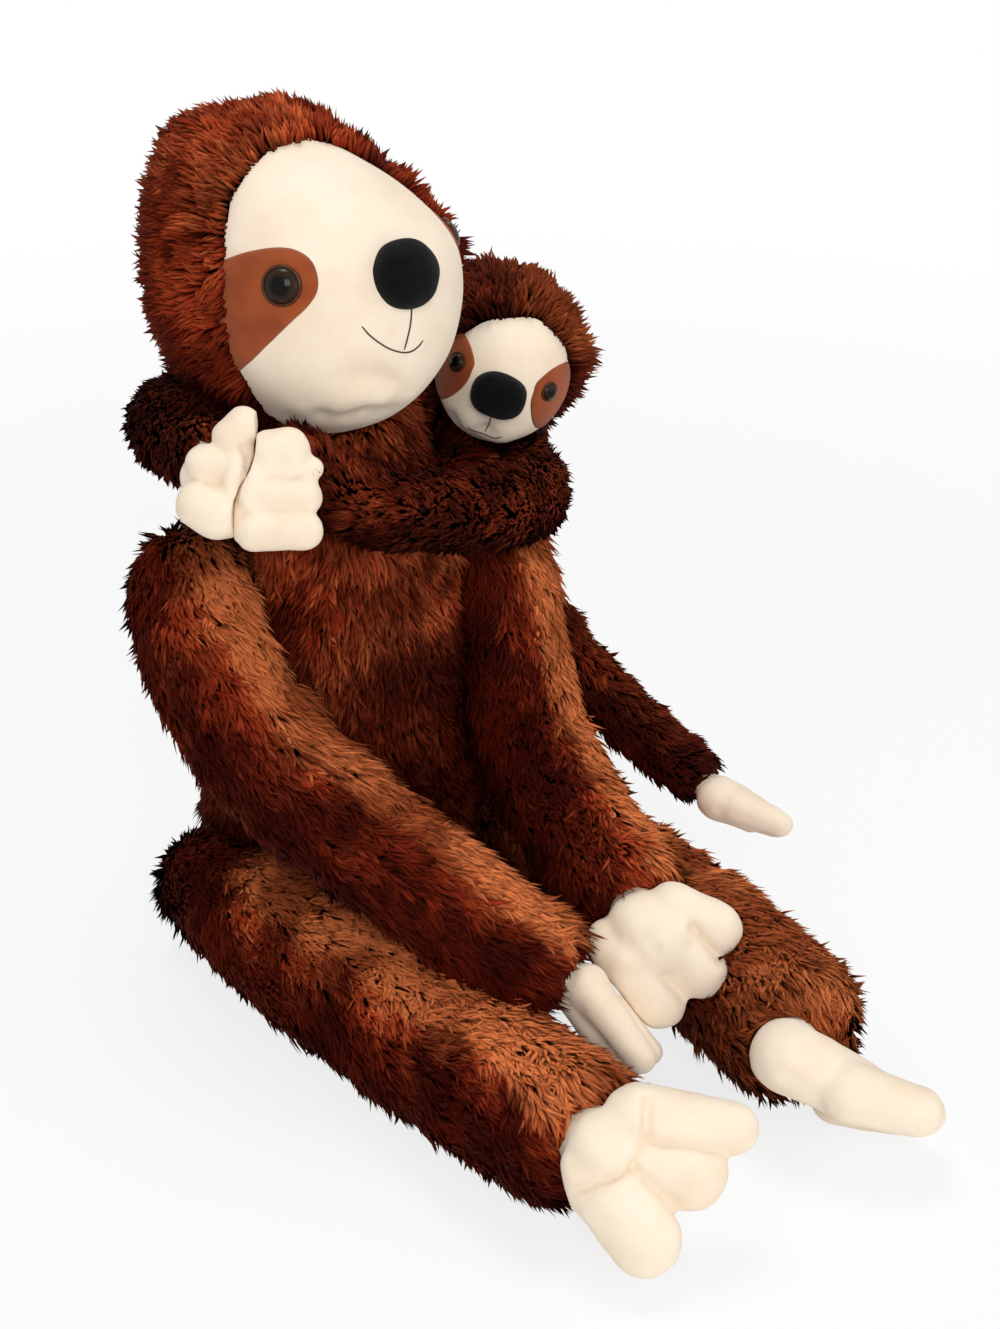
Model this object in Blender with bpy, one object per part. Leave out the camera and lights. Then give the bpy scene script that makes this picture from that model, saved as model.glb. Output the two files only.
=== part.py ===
"""Plush sloth with her young one clasped round her neck, as sewn, stuffed sub-parts.

Metres, +Z up. She sits facing -Y, the origin is the middle of the flat face that she sits on, and
her right side is at -X. A furry piece is as thick as its fabric with the pile pressed down.
"""

import math

import bmesh
import bpy
from mathutils import Matrix, Vector

# Clearances and fabrics
GAP = 0.0004
RUNNING_GAP = 0.0008
FABRIC = 0.003
VELBOA = 0.0024
PATCH_FABRIC = 0.001
OVERRUN = 0.03
WELD = 0.000002
BASE_CUT = 0.0005

# Her torso: a pear, narrower front to back, as (share of the radius, share of the height)
TORSO_HEIGHT = 0.232
TORSO_HALF_WIDTH = 0.061
TORSO_HALF_DEPTH = 0.054
TORSO_PROFILE_SHARES = (
    (0.72, 0.0),
    (0.88, 0.035),
    (0.965, 0.1),
    (1.0, 0.19),
    (0.985, 0.3),
    (0.94, 0.42),
    (0.88, 0.54),
    (0.82, 0.66),
    (0.75, 0.76),
    (0.66, 0.84),
    (0.57, 0.91),
    (0.48, 1.0),
)
TORSO_SIDES = 24
HEAD_SINK = 0.0145

# Her head: an egg, with a face that swells out of it
HEAD_LEAN = 0.0117
HEAD_HALF_WIDTH = 0.0568
HEAD_HALF_HEIGHT = 0.0605
NECK_OPENING_RADIUS = 0.016
FACE_AZIMUTH = math.radians(6)
FACE_PITCH = math.radians(12)
FACE_FORWARD = 0.0135
FACE_DROP = 0.0015
FACE_HALF_WIDTH = 0.053
FACE_HALF_DEPTH = 0.0525
FACE_HALF_HEIGHT = 0.0565

# Her eyes and nose
EYE_RADIUS = 0.0074
EYE_RISE = 0.0038
EYE_BACK_SHARE = 0.94
EYE_RIM_SHARE = 0.12
SHANK_RADIUS = 0.0017
SHANK_LENGTH = 0.011
WASHER_RADIUS = 0.0062
WASHER_THICKNESS = 0.0014
RIGHT_EYE_SHARES = (0.8, 0.08)
LEFT_EYE_SHARES = (0.865, 0.08)
EYE_PATCH_SHARES = (
    (1.4, 0.2),
    (1.0, 0.32),
    (0.78, 0.33),
    (0.65, 0.26),
    (0.63, 0.06),
    (0.7, -0.16),
    (0.86, -0.4),
    (1.0, -0.6),
    (1.4, -0.6),
)
NOSE_HALF_WIDTH = 0.0128
NOSE_HALF_HEIGHT = 0.0124
NOSE_HALF_DEPTH = 0.0098
NOSE_PLACE_SHARES = (-0.03, 0.06)

# Her arms, from the shoulder to the cuff, as shares of their length
SHOULDER_DROP = 0.068
SHOULDER_SETBACK = 0.002
SHOULDER_SEAT = 0.004
ARM_LENGTH = 0.205
ARM_RADIUS = 0.0235
ARM_RADIUS_SHARES = (1.0, 1.06, 1.04, 1.0, 0.96, 0.93, 0.92)
RIGHT_ARM_SHARES = (
    (0.0, 0.0, 0.0),
    (-0.05, -0.15, -0.09),
    (-0.05, -0.35, -0.2),
    (0.02, -0.55, -0.3),
    (0.12, -0.7, -0.42),
    (0.195, -0.79, -0.51),
)
LEFT_ARM_SHARES = (
    (0.0, 0.0, 0.0),
    (-0.01, -0.115, -0.12),
    (-0.05, -0.21, -0.27),
    (-0.12, -0.4, -0.39),
    (-0.18, -0.61, -0.44),
    (-0.215, -0.755, -0.475),
)

# Her legs, from the hip to the cuff
HIP_FORWARD = 0.003
HIP_SEAT = 0.015
LEG_LENGTH = 0.222
LEG_RADIUS = 0.0285
LEG_RADIUS_SHARES = (0.8, 0.96, 1.04, 1.05, 1.03, 1.0, 0.95)
LEG_REST_GAP = 0.001
RIGHT_LEG_SHARES = (
    (0.0, 0.0, 0.0),
    (0.01, -0.26, 0.0),
    (0.03, -0.52, 0.0),
    (0.04, -0.76, 0.005),
    (0.05, -0.97, 0.015),
)
LEFT_LEG_SHARES = (
    (0.0, 0.0, 0.0),
    (-0.02, -0.3, 0.0),
    (-0.03, -0.6, 0.0),
    (-0.06, -0.82, 0.01),
    (-0.1, -1.0, 0.02),
)

# Her hands and feet: each a palm and three stuffed digits that fan out in its plane
HAND_PALM_HALVES = (0.021, 0.022, 0.0125)
HAND_DIGIT_RADIUS = 0.0125
HAND_DIGIT_LENGTH = 0.041
HAND_REACH = 0.026
HAND_FAN_SHARES = ((-42, 0.95), (0, 0.88), (42, 1.0))
FOOT_PALM_HALVES = (0.026, 0.027, 0.014)
FOOT_DIGIT_RADIUS = 0.0148
FOOT_DIGIT_LENGTH = 0.048
FOOT_REACH = 0.031
FOOT_FAN_SHARES = ((-46, 1.0), (-8, 0.8), (46, 0.9))
DIGIT_RADIUS_SHARES = (0.85, 1.0, 1.0, 0.92)
WRIST_SHARE = 1.15
WRIST_RADIUS_SHARES = (1.0, 1.0, 0.9)
RIGHT_HAND_SHARES = ((0.15, -0.78, -0.6), (0.08, -0.72, -0.68), (0.98, 0.08, 0.12))
LEFT_HAND_SHARES = ((-0.1, -0.99, 0.05), (0.35, -0.68, -0.64), (-0.5, -0.7, 0.45))
RIGHT_FOOT_SHARES = ((0.12, -0.96, 0.27), (0.66, -0.56, -0.49), (-0.35, -0.82, 0.42))
LEFT_FOOT_SHARES = ((-0.28, -0.95, -0.04), (0.65, -0.7, -0.29), (0.52, 0.14, 0.84))

# The young one: its torso hangs beside her left shoulder
BABY_NECK_OFFSET = Vector((0.028, 0.012, 0.032))
BABY_TORSO_LENGTH = 0.09
BABY_TORSO_RADIUS = 0.0235
BABY_TORSO_SHARES = ((0.0, 0.0, 0.0), (0.0, 0.16, -0.45), (-0.02, 0.14, -0.9))
BABY_TORSO_RADIUS_SHARES = (0.86, 1.0, 1.06, 1.08, 1.06, 1.0)
BABY_HEAD_OFFSET = Vector((-0.006, -0.009, 0.029))
BABY_HEAD_HALF_WIDTH = 0.0305
BABY_HEAD_HALF_HEIGHT = 0.0345
BABY_FACE_AZIMUTH = math.radians(-40)
BABY_FACE_PITCH = math.radians(2)
BABY_FACE_ROLL = math.radians(18)
BABY_FACE_FORWARD = 0.0095
BABY_FACE_DROP = 0.004
BABY_FACE_HALF_WIDTH = 0.0272
BABY_FACE_HALF_DEPTH = 0.026
BABY_FACE_HALF_HEIGHT = 0.0302
BABY_EYE_RADIUS = 0.0042
BABY_EYE_RISE = 0.0026
BABY_SHANK_RADIUS = 0.0012
BABY_SHANK_LENGTH = 0.007
BABY_WASHER_RADIUS = 0.0034
BABY_WASHER_THICKNESS = 0.001
BABY_EYE_PLACE_SHARES = (0.66, 0.12)
BABY_EYE_PATCH_SHARES = (
    (1.4, 0.5),
    (0.9, 0.52),
    (0.55, 0.42),
    (0.4, 0.2),
    (0.5, -0.08),
    (0.8, -0.2),
    (1.4, -0.35),
)
BABY_NOSE_HALF_WIDTH = 0.0094
BABY_NOSE_HALF_HEIGHT = 0.0076
BABY_NOSE_HALF_DEPTH = 0.0048
BABY_NOSE_PLACE_SHARES = (0.0, -0.08)

# Its arms run round her neck, as (angle from +X, share of the loop's radius, share of its rise)
BABY_ARM_RADIUS = 0.0155
BABY_LIMB_RADIUS_SHARES = (1.0, 1.05, 1.05, 1.0, 0.96, 0.94)
LOOP_RADIUS = 0.08
LOOP_RISE = 0.048
LOOP_BASE_RISE = 0.014
BABY_LEFT_ARM_SHARES = (
    (-7, 1.12, -0.08),
    (-22, 1.02, 0.0),
    (-38, 0.92, 0.1),
    (-56, 0.86, 0.25),
    (-84, 0.81, 0.44),
    (-115, 0.9, 0.7),
)
BABY_RIGHT_ARM_SHARES = (
    (28, 1.13, 0.12),
    (60, 0.88, 0.36),
    (96, 0.74, 0.6),
    (135, 0.76, 0.85),
    (168, 0.84, 1.0),
    (192, 0.9, 1.03),
)
CLASP_ANGLE = 215
CLASP_RADIUS_SHARE = 1.08
CLASP_RISE_SHARE = 1.1
CLASP_NORMAL_SHARES = (0.79, -0.61, 0.0)
BABY_HIP_SPAN = 0.008
BABY_LEG_RADIUS = 0.0132
BABY_LEG_LENGTH = 0.135
BABY_LEFT_LEG_SHARES = (
    (0.0, 0.0, 0.0),
    (-0.02, -0.25, -0.05),
    (-0.03, -0.5, -0.18),
    (0.015, -0.745, -0.3),
    (0.075, -0.93, -0.385),
)
BABY_RIGHT_LEG_SHARES = (
    (0.0, 0.0, 0.0),
    (0.0, 0.2, -0.06),
    (-0.12, 0.34, -0.14),
    (-0.34, 0.37, -0.22),
    (-0.52, 0.36, -0.28),
)
BABY_PALM_HALVES = (0.0145, 0.014, 0.0115)
BABY_DIGIT_RADIUS = 0.0088
BABY_HAND_DIGIT_RADIUS = 0.0112
BABY_DIGIT_LENGTH = 0.029
BABY_PALM_REACH = 0.012
BABY_HAND_FAN_SHARES = ((-62, 1.0), (0, 0.8), (62, 1.0))
BABY_FOOT_FAN_SHARES = ((-20, 1.15), (0, 1.3), (20, 1.15))
BABY_LEFT_FOOT_SHARES = ((0.3, -0.85, -0.3), (0.18, -0.9, -0.2), (0.35, -0.1, 0.9))
BABY_RIGHT_FOOT_SHARES = ((-0.95, -0.1, -0.3), (-0.95, -0.1, -0.3), (0.0, 1.0, 0.0))
CLASP_PATCH_RADIUS = 0.0075
CLASP_PATCH_THICKNESS = 0.0012

# Facets
LIMB_SIDES = 12
BABY_LIMB_SIDES = 10
DIGIT_SIDES = 6
LIMB_STEPS = 9
DIGIT_STEPS = 3
LIMB_DOME_ANGLES = (16, 40, 66)
DIGIT_DOME_ANGLES = (30, 62)
EYE_DOME_ANGLES = (75, 60, 45, 30, 15)
CUFF_DOME_SHARE = 0.35
HEAD_FACETS = (20, 12)
FACE_FACETS = (20, 12)
BABY_HEAD_FACETS = (14, 9)
BABY_FACE_FACETS = (16, 10)
NOSE_FACETS = (14, 8)
PALM_FACETS = (12, 6)
EYE_SIDES = 12
HEAD_TURN_STEPS = (-20, -10, 0, 10, 20)
LEG_SWING_STEPS = (15, 30, 45, 60, 75, 90)
RIGHT_ARM_STEPS = (12, 24, 35)
LEFT_ARM_STEPS = (4, 8, 12, 15)
HAND_LIFT_STEPS = (1, 2, 3, 4, 6, 8, 10, 13)
HAND_PASSING_STEPS = (4, 8, 12)
BABY_LEFT_ARM_STEPS = (10, 20, 30, 40)
BABY_RIGHT_ARM_STEPS = (10, 20, 30)
BABY_LEFT_LEG_STEPS = (-10, 10)
BABY_RIGHT_LEG_STEPS = (10, 20, 30)

# Finishes: colour and roughness
BROWN_FUR = ("brown_fur", (0.16, 0.035, 0.012, 1.0), 0.9)
BABY_FUR = ("baby_fur", (0.14, 0.032, 0.011, 1.0), 0.9)
CREAM_VELBOA = ("cream_velboa", (0.9, 0.78, 0.62, 1.0), 0.85)
TAN_VELBOA = ("tan_velboa", (0.27, 0.075, 0.02, 1.0), 0.85)
BLACK_PLUSH = ("black_plush", (0.003, 0.003, 0.003, 1.0), 0.8)
EYE_PLASTIC = ("eye_plastic", (0.04, 0.018, 0.01, 1.0), 0.12)
WASHER_PLASTIC = ("washer_plastic", (0.75, 0.75, 0.72, 1.0), 0.45)
FIBRE = ("polyester_fibre", (0.85, 0.85, 0.83, 1.0), 0.95)
HOOK_TAPE = ("fastener_tape", (0.75, 0.72, 0.65, 1.0), 0.8)


def clear_scene():
    for obj in list(bpy.data.objects):
        bpy.data.objects.remove(obj)


def finish(obj, look):
    name, colour, roughness = look
    made = bpy.data.materials.get(name)
    if made is None:
        made = bpy.data.materials.new(name)
        made.use_nodes = True
        shader = made.node_tree.nodes["Principled BSDF"]
        shader.inputs["Base Color"].default_value = colour
        shader.inputs["Roughness"].default_value = roughness
        shader.inputs["Metallic"].default_value = 0.0
    obj.data.materials.append(made)
    return obj


def new_object(name, shape, matrix=None):
    """An object that shows this bmesh, shaded smooth, and frees the bmesh."""
    mesh = bpy.data.meshes.new(name)
    bmesh.ops.recalc_face_normals(shape, faces=shape.faces)
    shape.to_mesh(mesh)
    shape.free()
    mesh.shade_smooth()
    obj = bpy.data.objects.new(name, mesh)
    bpy.context.scene.collection.objects.link(obj)
    if matrix is not None:
        obj.matrix_world = matrix
    return obj


def as_cutter(obj):
    """Marks an object as a shape that only cuts, keeps or joins."""
    obj.hide_render = True
    obj.display_type = "WIRE"
    return obj


def as_piece(obj):
    """Marks a copied shape as a piece of the part."""
    obj.hide_render = False
    obj.display_type = "TEXTURED"
    return obj


def combine(piece, operation, others):
    for other in others:
        step = piece.modifiers.new(other.name, "BOOLEAN")
        step.operation = operation
        step.solver = "EXACT"
        step.object = other
    return piece


def cut(piece, *others):
    return combine(piece, "DIFFERENCE", others)


def join(piece, *others):
    return combine(piece, "UNION", others)


def keep(piece, *others):
    return combine(piece, "INTERSECT", others)


def grown(form, name, amount):
    """A cutter like this form before its cuts, with every face moved out by amount."""
    shape = bmesh.new()
    shape.from_mesh(form.data)
    moves = [vert.normal * (amount * vert.calc_shell_factor()) for vert in shape.verts]
    for vert, move in zip(shape.verts, moves):
        vert.co += move
    return as_cutter(new_object(name, shape, form.matrix_world.copy()))


def facing(azimuth, pitch, roll):
    """Turns what faces -Y to this azimuth, tipped up by pitch and leaning to its left by roll."""
    turn = Matrix.Rotation(azimuth, 4, "Z") @ Matrix.Rotation(-pitch, 4, "X")
    return turn @ Matrix.Rotation(roll, 4, "Y")


def frame_of(centre, heading, normal):
    """A frame at centre whose -Y runs along heading and whose Z lies nearest to normal."""
    back = -Vector(heading).normalized()
    up = Vector(normal)
    up = (up - back * up.dot(back)).normalized()
    turn = Matrix((back.cross(up), back, up)).transposed()
    return Matrix.Translation(centre) @ turn.to_4x4()


def outward_frame(centre, normal):
    """A frame at centre whose Z runs along normal."""
    return Matrix.Translation(centre) @ normal.to_track_quat("Z", "Y").to_matrix().to_4x4()


def ellipsoid(name, halves, facets, matrix):
    segments, rings = facets
    shape = bmesh.new()
    bmesh.ops.create_uvsphere(shape, u_segments=segments, v_segments=rings, radius=1.0)
    bmesh.ops.scale(shape, vec=halves, verts=shape.verts)
    return new_object(name, shape, matrix)


def turned(name, profile, sides, matrix=None, flatten=1.0):
    """A solid turned about Z from (radius, height) points that start and end on the axis."""
    shape = bmesh.new()
    points = [shape.verts.new((radius, 0.0, height)) for radius, height in profile]
    edges = [shape.edges.new(pair) for pair in zip(points, points[1:])]
    bmesh.ops.spin(
        shape,
        geom=points + edges,
        axis=(0.0, 0.0, 1.0),
        cent=(0.0, 0.0, 0.0),
        angle=math.tau,
        steps=sides,
        use_merge=True,
    )
    bmesh.ops.remove_doubles(shape, verts=shape.verts, dist=WELD)
    bmesh.ops.scale(shape, vec=(1.0, flatten, 1.0), verts=shape.verts)
    return new_object(name, shape, matrix)


def smooth_line(points, steps):
    """Points along a Catmull-Rom curve through the given ones."""
    ends = [points[0] * 2 - points[1], *points, points[-1] * 2 - points[-2]]
    line = []
    for step in range(steps + 1):
        place = step / steps * (len(points) - 1)
        first = min(int(place), len(points) - 2)
        t = place - first
        a, b, c, d = ends[first : first + 4]
        bend = (c - a) * t + (a * 2 - b * 5 + c * 4 - d) * t**2 + (b * 3 - a - c * 3 + d) * t**3
        line.append(b + bend / 2)
    return line


def share_at(shares, t):
    """The value of evenly spaced shares at t from 0 to 1, in straight runs."""
    place = t * (len(shares) - 1)
    first = min(int(place), len(shares) - 2)
    return shares[first] + (shares[first + 1] - shares[first]) * (place - first)


def stuffed_tube(name, path, radius, radius_shares, sides, steps, dome_angles, end_dome_share=1.0):
    """A tube that swells and tapers along a smooth path. Its root is a half ball about the first
    point, and its far end a dome as high as this share of the radius there."""
    line = smooth_line(path, steps)
    radii = [radius * share_at(radius_shares, i / steps) for i in range(steps + 1)]
    back = (line[0] - line[1]).normalized() * radii[0]
    ahead = (line[-1] - line[-2]).normalized() * (radii[-1] * end_dome_share)
    angles = [math.radians(angle) for angle in dome_angles]
    places = [line[0] + back * math.cos(angle) for angle in angles]
    sizes = [radii[0] * math.sin(angle) for angle in angles]
    places += line
    sizes += radii
    places += [line[-1] + ahead * math.cos(angle) for angle in reversed(angles)]
    sizes += [radii[-1] * math.sin(angle) for angle in reversed(angles)]
    curve = bpy.data.curves.new(name, "CURVE")
    curve.dimensions = "3D"
    curve.bevel_depth = 1.0
    curve.bevel_resolution = (sides - 4) // 2
    curve.use_fill_caps = True
    spline = curve.splines.new("POLY")
    spline.points.add(len(places) - 1)
    for point, place, size in zip(spline.points, places, sizes):
        point.co = (*place, 1.0)
        point.radius = size
    holder = bpy.data.objects.new(name, curve)
    bpy.context.scene.collection.objects.link(holder)
    evaluated = holder.evaluated_get(bpy.context.evaluated_depsgraph_get())
    mesh = bpy.data.meshes.new_from_object(evaluated)
    bpy.data.objects.remove(holder)
    shape = bmesh.new()
    shape.from_mesh(mesh)
    bpy.data.meshes.remove(mesh)
    bmesh.ops.remove_doubles(shape, verts=shape.verts, dist=WELD)
    return new_object(name, shape)


def ball_space(name, centre, radius, sides):
    """The space in which a limb's round root turns."""
    size = radius + RUNNING_GAP
    matrix = Matrix.Translation(centre)
    return as_cutter(ellipsoid(name, (size, size, size), (sides * 2, sides), matrix))


def paw(name, frame, sizes, cuff):
    """A palm joined to three digits and to a wrist from the limb's cuff. The frame's -Y runs to the
    fingertips."""
    palm_halves, digit_radius, digit_length, fan_shares = sizes
    palm = ellipsoid(name, palm_halves, PALM_FACETS, frame)
    for index, (angle, share) in enumerate(fan_shares):
        turn = math.radians(angle)
        reach = Vector((math.sin(turn), -math.cos(turn), 0.0)) * (digit_length * share - digit_radius)
        digit = stuffed_tube(
            f"{name}_digit_{index}",
            [Vector(), reach / 2, reach],
            digit_radius,
            DIGIT_RADIUS_SHARES,
            DIGIT_SIDES,
            DIGIT_STEPS,
            DIGIT_DOME_ANGLES,
        )
        digit.matrix_world = frame
        join(palm, as_cutter(digit))
    centre = frame.translation
    wrist = stuffed_tube(
        name + "_wrist",
        [cuff, (cuff + centre) / 2, centre],
        digit_radius * WRIST_SHARE,
        WRIST_RADIUS_SHARES,
        DIGIT_SIDES,
        DIGIT_STEPS,
        DIGIT_DOME_ANGLES,
    )
    join(palm, as_cutter(wrist))
    return finish(palm, CREAM_VELBOA)


def paw_on(name, limb_path, reach, way_shares, sizes):
    """A paw past the limb's cuff. Its three ways run to the palm, to the fingertips and off its back."""
    offset, heading, normal = (Vector(way).normalized() for way in way_shares)
    frame = frame_of(limb_path[-1] + offset * reach, heading, normal)
    return paw(name, frame, sizes, limb_path[-1])


def torso_half_width_at(height):
    """Her torso's half width at this height, in straight runs between the profile's points."""
    for (low, start), (high, end) in zip(TORSO_PROFILE_SHARES, TORSO_PROFILE_SHARES[1:]):
        if height <= end * TORSO_HEIGHT:
            part = (height / TORSO_HEIGHT - start) / (end - start)
            return TORSO_HALF_WIDTH * (low + (high - low) * part)
    return TORSO_HALF_WIDTH * TORSO_PROFILE_SHARES[-1][0]


def shoulder(side):
    height = TORSO_HEIGHT - SHOULDER_DROP
    across = torso_half_width_at(height) + ARM_RADIUS * ARM_RADIUS_SHARES[0] - SHOULDER_SEAT
    return Vector((across * side, SHOULDER_SETBACK, height))


def hip(side):
    height = LEG_RADIUS * max(LEG_RADIUS_SHARES) + LEG_REST_GAP
    across = torso_half_width_at(height) + LEG_RADIUS * LEG_RADIUS_SHARES[0] - HIP_SEAT
    return Vector((across * side, -HIP_FORWARD, height))


def path_from(start, length, shares):
    return [start + Vector(share) * length for share in shares]


def loop_point(angle, radius_share, rise_share):
    """A point of the loop that the young one's arms make round her neck."""
    turn = math.radians(angle)
    height = shoulder(1).z + LOOP_BASE_RISE + LOOP_RISE * rise_share
    radius = LOOP_RADIUS * radius_share
    return Vector((radius * math.cos(turn), radius * math.sin(turn), height))


def make_torso():
    profile = [(0.0, -BASE_CUT)]
    profile += [
        (TORSO_HALF_WIDTH * radius, TORSO_HEIGHT * height) for radius, height in TORSO_PROFILE_SHARES
    ]
    profile += [(0.0, TORSO_HEIGHT)]
    flatten = TORSO_HALF_DEPTH / TORSO_HALF_WIDTH
    return turned("torso_skin", profile, TORSO_SIDES, flatten=flatten)


def floor_space():
    """All that lies below the surface that she sits on."""
    shape = bmesh.new()
    bmesh.ops.create_cube(shape, size=1.0)
    reach = 2 * (HIP_FORWARD + LEG_LENGTH + FOOT_REACH + FOOT_DIGIT_LENGTH + OVERRUN)
    bmesh.ops.scale(shape, vec=(reach, reach, OVERRUN), verts=shape.verts)
    bmesh.ops.translate(shape, vec=(0.0, 0.0, -OVERRUN / 2), verts=shape.verts)
    return as_cutter(new_object("floor_space", shape))


class Face:
    """A head's egg and the face that swells out of it, with what is sewn or pushed into them."""

    def __init__(self, prefix, centre, sizes, pose, facets):
        half_width, half_height, face_halves, forward, drop = sizes
        head_facets, face_facets = facets
        self.prefix = prefix
        self.halves = Vector(face_halves)
        self.turn = facing(*pose)
        centre_of_face = centre + self.turn @ Vector((0.0, -forward, 0.0)) - Vector((0.0, 0.0, drop))
        self.frame = Matrix.Translation(centre_of_face) @ self.turn
        head_matrix = Matrix.Translation(centre)
        self.centre = centre
        self.face_facets = face_facets
        self.head = ellipsoid(
            prefix + "head_hood", (half_width, half_width, half_height), head_facets, head_matrix
        )
        self.face = ellipsoid(prefix + "face_panel", face_halves, face_facets, self.frame)
        self.pieces = [self.head, self.face]

    def surface(self, across, up, lift):
        """A frame on the face at these shares of its half sizes, lift above it, Z outwards."""
        depth = -math.sqrt(1.0 - across**2 - up**2)
        point = Vector((across, depth, up)) * self.halves
        normal = Vector((across, depth, up))
        normal = Vector([part / half for part, half in zip(normal, self.halves)]).normalized()
        return self.frame @ outward_frame(point + normal * lift, normal)

    def spaces(self):
        """Cutters as large as this head and its face, with the running gap."""
        head = grown(self.head, self.prefix + "head_space", RUNNING_GAP)
        face = grown(self.face, self.prefix + "face_space", RUNNING_GAP)
        return head, face

    def build_shells(self):
        """The hood and the face as fabric over one filling that bulges into the face."""
        prefix = self.prefix
        head_inside = grown(self.head, prefix + "head_inside", -FABRIC)
        face_inside = grown(self.face, prefix + "face_inside", -VELBOA)
        self.filling = as_piece(grown(self.head, prefix + "head_filling", -FABRIC - GAP))
        join(self.filling, grown(self.face, prefix + "face_filling", -VELBOA - GAP))
        cut(self.head, head_inside, grown(self.face, prefix + "face_opening", GAP))
        cut(self.face, face_inside, head_inside)
        finish(self.filling, FIBRE)
        self.pieces.append(self.filling)

    def add_neck_opening(self, radius):
        depth = self.head.dimensions.z
        hole = turned(
            self.prefix + "neck_opening",
            ((0.0, -depth), (radius, -depth), (radius, 0.0), (0.0, 0.0)),
            EYE_SIDES,
            Matrix.Translation(self.centre),
        )
        cut(self.head, as_cutter(hole))

    def add_eye(self, side, place, sizes, outline):
        radius, rise, shank_radius, shank_length, washer_radius, washer_thickness = sizes
        name = "left" if side > 0 else "right"
        across, up = place[0] * side, place[1]
        shank_space = as_cutter(
            turned(
                f"{self.prefix}shank_space_{name}",
                (
                    (0.0, -shank_length - GAP),
                    (shank_radius + GAP, -shank_length - GAP),
                    (shank_radius + GAP, OVERRUN),
                    (0.0, OVERRUN),
                ),
                EYE_SIDES,
                self.surface(across, up, 0.0),
            )
        )
        patch = as_piece(grown(self.face, f"{self.prefix}eye_patch_{name}", GAP + PATCH_FABRIC))
        keep(patch, self.outline_space(f"{self.prefix}patch_outline_{name}", side, outline))
        patch_inside = grown(self.face, f"{self.prefix}patch_inside_{name}", GAP)
        patch_edge = grown(self.head, f"{self.prefix}patch_edge_{name}", GAP)
        cut(patch, patch_inside, patch_edge, shank_space)
        finish(patch, TAN_VELBOA)
        dome = [
            (radius * math.sin(math.radians(angle)), rise * math.cos(math.radians(angle)))
            for angle in EYE_DOME_ANGLES
        ]
        lift = GAP + PATCH_FABRIC + GAP
        eye = turned(
            f"{self.prefix}eye_{name}",
            (
                (0.0, -shank_length - lift),
                (shank_radius, -shank_length - lift),
                (shank_radius, 0.0),
                (radius * EYE_BACK_SHARE, 0.0),
                (radius, rise * EYE_RIM_SHARE),
                *dome,
                (0.0, rise),
            ),
            EYE_SIDES,
            self.surface(across, up, lift),
        )
        finish(eye, EYE_PLASTIC)
        facet = math.tan(math.pi / self.face_facets[0])
        dish = washer_radius * (washer_radius / min(self.halves) + facet)
        washer_top = -VELBOA - GAP - dish
        washer_bottom = washer_top - washer_thickness
        washer = turned(
            f"{self.prefix}eye_washer_{name}",
            (
                (0.0, washer_bottom),
                (washer_radius, washer_bottom),
                (washer_radius, washer_top),
                (0.0, washer_top),
            ),
            EYE_SIDES,
            self.surface(across, up, 0.0),
        )
        cut(washer, shank_space)
        finish(washer, WASHER_PLASTIC)
        washer_space = turned(
            f"{self.prefix}washer_space_{name}",
            (
                (0.0, washer_bottom - GAP),
                (washer_radius + GAP, washer_bottom - GAP),
                (washer_radius + GAP, 0.0),
                (0.0, 0.0),
            ),
            EYE_SIDES,
            self.surface(across, up, 0.0),
        )
        cut(self.face, shank_space)
        cut(self.filling, shank_space, as_cutter(washer_space))
        self.pieces += [patch, eye, washer]

    def outline_space(self, name, side, outline):
        """A prism over this outline of shares of the face's half sizes, ahead of its middle."""
        shape = bmesh.new()
        corners = [
            shape.verts.new((x * side * self.halves.x, 0.0, z * self.halves.z)) for x, z in outline
        ]
        base = shape.faces.new(corners)
        extruded = bmesh.ops.extrude_face_region(shape, geom=[base])
        moved = [item for item in extruded["geom"] if isinstance(item, bmesh.types.BMVert)]
        bmesh.ops.translate(shape, vec=(0.0, -self.halves.y - OVERRUN, 0.0), verts=moved)
        return as_cutter(new_object(name, shape, self.frame))

    def add_nose(self, place, halves):
        half_width, half_height, half_depth = halves
        across, up = place
        matrix = self.surface(across, up, 0.0)
        nose = ellipsoid(self.prefix + "nose", (half_width, half_height, half_depth), NOSE_FACETS, matrix)
        cut(nose, grown(self.face, self.prefix + "nose_seat", GAP))
        finish(nose, BLACK_PLUSH)
        self.pieces.append(nose)


def pivot(name, place, *pieces):
    """An empty on a joint's axis that carries the pieces which turn there."""
    empty = bpy.data.objects.new(name, None)
    bpy.context.scene.collection.objects.link(empty)
    empty.matrix_world = Matrix.Translation(place)
    for piece in pieces:
        piece.parent = empty
        piece.matrix_parent_inverse = Matrix.Translation(-place)
    return empty


def turned_spaces(form, name, centre, axis, angles):
    """Cutters like this form, grown by the running gap and turned about an axis through centre."""
    spaces = []
    for angle in angles:
        cutter = grown(form, f"{name}_{angle}", RUNNING_GAP)
        turn = Matrix.Rotation(math.radians(angle), 4, axis)
        move = Matrix.Translation(centre) @ turn @ Matrix.Translation(-centre)
        cutter.matrix_world = move @ cutter.matrix_world
        spaces.append(cutter)
    return spaces


def mother_limb(name, start, length, radius, shares, radius_shares):
    path = path_from(start, length, shares)
    return path, stuffed_tube(
        name, path, radius, radius_shares, LIMB_SIDES, LIMB_STEPS, LIMB_DOME_ANGLES, CUFF_DOME_SHARE
    )


def baby_limb(name, path, radius):
    return stuffed_tube(
        name,
        path,
        radius,
        BABY_LIMB_RADIUS_SHARES,
        BABY_LIMB_SIDES,
        LIMB_STEPS,
        LIMB_DOME_ANGLES,
        CUFF_DOME_SHARE,
    )


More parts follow.
